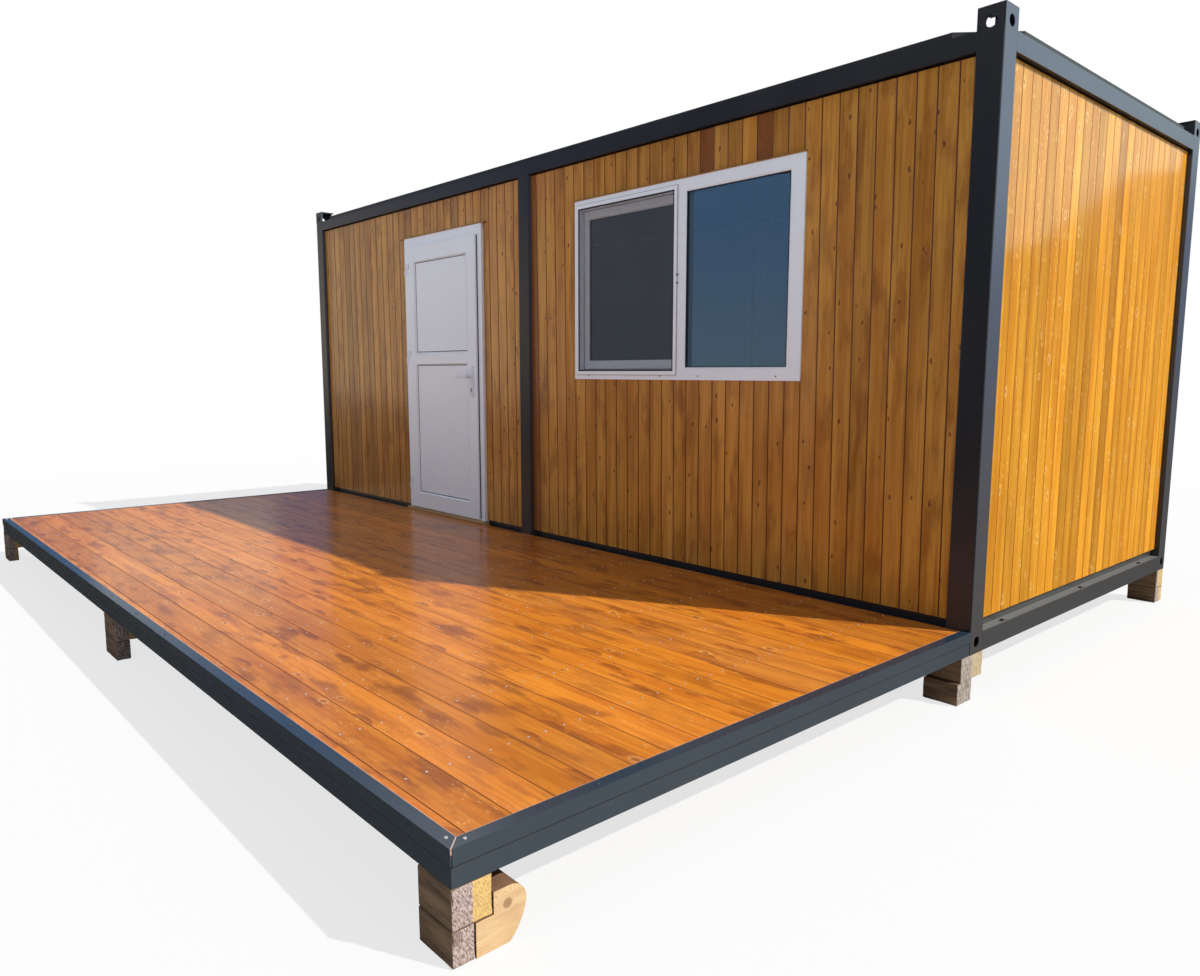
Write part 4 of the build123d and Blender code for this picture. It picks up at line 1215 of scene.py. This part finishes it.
LUG_LOW, LUG_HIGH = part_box("lifting_lugs")
WEB = 0.008
webs = []
for y in (LUG_LOW.y + 0.096, LUG_HIGH.y - 0.104):
    web_low = (LUG_HIGH.x - 0.086, y, LUG_LOW.z + 0.0005)
    web_high = (LUG_HIGH.x - 0.0085, y + WEB, LUG_HIGH.z - 0.008)
    webs += [soften(web, 0.001) for web in pair("web", web_low, web_high)]
fit(join("lug_webs", webs), "cabin", "frame_paint", STEEL)

# ------ timber blocks


def rough_block(name, low, high, seed, yellow, greyed):
    """A sawn offcut: slightly uneven faces and worn edges, inside the space between the corners."""
    piece = block(name, low, high)
    take(piece)
    bpy.ops.object.mode_set(mode="EDIT")
    bpy.ops.mesh.select_all(action="SELECT")
    bpy.ops.mesh.subdivide(number_cuts=3)
    let_go()
    soften(piece, 0.004)
    chance = random.Random(seed)
    centre = (low + high) / 2
    for corner in piece.data.vertices:
        inward = (centre - corner.co).normalized()
        corner.co += inward * chance.uniform(0, 0.0022)
    local = piece.data.attributes.new("offcut", "FLOAT_VECTOR", "POINT")
    for corner in piece.data.vertices:
        place = corner.co - centre
        local.data[corner.index].vector = (seed * 0.37, place.y, place.z)
    for key, share in (("yellow", yellow), ("greyed", greyed)):
        remember(piece, key, [share] * len(piece.data.polygons))
    return piece


def block_solids(node):
    """The low and high corner of each separate block in a node of square blocks."""
    spacing_x, spacing_y = 1.5, 1.2
    stacks = {}
    for corner in frame["nodes"][node].data.vertices:
        place = corner.co
        stacks.setdefault((round(place.x / spacing_x), round(place.y / spacing_y)), []).append(place)
    for group in stacks.values():
        yield [Vector(limit(place[i] for place in group) for i in range(3)) for limit in (min, max)]


YELLOW_SHARES = {
    "upper_blocks": (0.9, 0.4, 0.6, 0.5, 0.5, 0.5, 0.8, 0.5, 0.5),
    "lower_blocks": (0.2, 0.6, 0.5, 0.0, 0.4, 0.0, 0.5, 0.0, 0.0),
}
GREYED_SHARES = {
    "upper_blocks": (0.2, 0.6, 0.0, 0.3, 0.5, 0.1, 0.4, 0.75, 0.0),
    "lower_blocks": (0.5, 0.2, 0.3, 0.1, 0.6, 0.2, 0.3, 0.9, 0.0),
}
for node, shares in YELLOW_SHARES.items():
    offcuts = []
    for i, (low, high) in enumerate(block_solids(node)):
        offcuts.append(rough_block(node, low, high, i, shares[i], GREYED_SHARES[node][i]))
    fit(join("rough_" + node, offcuts), "cabin", "weathered_timber", ROUGH_TIMBER, [node])


# ------ studio

FLOOR_RADIUS = 60


def disc(name, height):
    """A wide round sheet that lies at that height."""
    let_go()
    bpy.ops.mesh.primitive_circle_add(
        vertices=96, radius=FLOOR_RADIUS, fill_type="NGON", location=(0, 0, height)
    )
    return call(settle(bpy.context.object), name)


studio_floor = disc("studio_floor", -0.001)
finish, tree, paper, place = new_finish(
    "pale floor", Base_Color=(0.6, 0.6, 0.6), Roughness=0.9, Specular_IOR_Level=0.0
)
plain = put(tree, "Emission", {"Color": (1, 1, 1), "Strength": 1.0})
seen = any_ray(tree, "Is Camera Ray", "Is Transmission Ray")
show_mix(tree, seen * fade(length_of(place), 5.0, 13.0, 0.75, 1.0), paper, plain)
studio_floor.data.materials.append(finish)

key_data = bpy.data.lights.new("key_sun", "SUN")
key_data.energy = 5.6
key_data.angle = math.radians(0.9)
key_data.color = (1.0, 0.97, 0.92)
key = bpy.data.objects.new("key_sun", key_data)
bpy.context.collection.objects.link(key)
key.rotation_mode = "QUATERNION"
key.rotation_quaternion = Vector((-2.415, -1.257, -2.35)).to_track_quat("-Z", "Y")

world = bpy.data.worlds.new("studio")
bpy.context.scene.world = world
world.use_nodes = True
tree = world.node_tree
soft = tree.nodes["Background"]
soft.inputs["Color"].default_value = (0.85, 0.93, 1.08, 1)
soft.inputs["Strength"].default_value = 0.45
backdrop = put(tree, "Background", {"Color": (1, 1, 1), "Strength": 1.0})
seen = any_ray(tree, "Is Camera Ray", "Is Glossy Ray", "Is Transmission Ray")
show_mix(tree, seen, soft, backdrop, "World Output")


def bearing_of(place):
    """The bearing of a place from the origin, in degrees."""
    return math.degrees(math.atan2(place.y, place.x)) % 360


def reflection_card(name, foot_colour, top_colour, radius, start, stop, low, high, rise=None):
    """A standing curved card that only gloss sees, between two bearings in degrees.

    Its top can rise between two bearings, by the height given.
    """
    let_go()
    bpy.ops.mesh.primitive_cylinder_add(
        vertices=180,
        radius=radius,
        depth=high - low,
        end_fill_type="NOTHING",
        location=(0, 0, (low + high) / 2),
    )
    card = call(settle(bpy.context.object), name)
    pick_faces(card, lambda middle, out: not start < bearing_of(middle) < stop)
    bpy.ops.mesh.delete(type="FACE")
    let_go()
    for corner in card.data.vertices:
        if rise and corner.co.z > low:
            begin, end, height = rise
            corner.co.z += height * min(1, max(0, (bearing_of(corner.co) - begin) / (end - begin)))
    show_to_gloss(card, foot_colour, top_colour)


def show_to_gloss(card, foot_colour, top_colour):
    """Gives a card its glow, from its foot colour to its top colour, and hides it from all but gloss."""
    let_go()
    finish, tree, _, place = new_finish(card.name)
    colour = tint(fade(axes_of(place)[2], 1.0, 7.0), foot_colour, top_colour)
    glow = put(tree, "Emission", {"Color": colour, "Strength": 1.0})
    feed(tree.nodes["Material Output"].inputs["Surface"], Value(glow))
    card.data.materials.append(finish)
    card.visible_camera = False
    card.visible_diffuse = False
    card.visible_transmission = False
    card.visible_shadow = False


GROUND_TONE = (0.045, 0.043, 0.04)
show_to_gloss(disc("ground_card", -0.0005), GROUND_TONE, GROUND_TONE)
SKY_WHITE = (0.78, 0.93, 0.87)
CLOUD = (1.0, 0.97, 0.85)
SHADE = (0.05, 0.047, 0.045)
reflection_card("dusk_card", (0.045, 0.046, 0.052), (0.045, 0.055, 0.085), 26.5, 219, 272, -2, 16)
reflection_card("deep_blue_card", (0.17, 0.25, 0.36), (0.085, 0.19, 0.42), 26, 229, 239, -2, 8)
reflection_card("shade_card_left", (0.05, 0.052, 0.056), (0.03, 0.033, 0.038), 25, 221, 229, -2, 7.5)
reflection_card("haze_card_left", (1.15, 0.98, 0.72), (0.7, 0.66, 0.6), 25.5, 190, 221, 0.5, 7)
reflection_card("pale_blue_card", (0.13, 0.19, 0.28), (0.07, 0.17, 0.4), 26.5, 140, 219, -2, 16)
reflection_card("cloud_card", CLOUD, CLOUD, 26, 161, 173, 4.4, 7.2)
reflection_card("sky_card", SKY_WHITE, SKY_WHITE, 26, 10, 125, 3, 26)
reflection_card("shade_card_right", SHADE, SHADE, 23, 10, 125, -2, 4.45, (61, 66, 1.7))

camera_data = bpy.data.cameras.new("camera")
camera_data.sensor_width = 36
camera_data.lens = 26.4437
camera_data.clip_end = 200
camera = bpy.data.objects.new("camera", camera_data)
bpy.context.collection.objects.link(camera)
right = Vector((0.66706944, 0.74499526, 0.00065329))
up = Vector((-0.09730046, 0.08625346, 0.99151044))
back = Vector((0.73861423, -0.66146988, 0.13002542))
camera.matrix_world = Matrix.Translation((4.59142, -3.45401, 1.34663)) @ Matrix(
    (right, up, back)
).transposed().to_4x4()
bpy.context.scene.camera = camera
bpy.context.scene.view_settings.view_transform = "Standard"
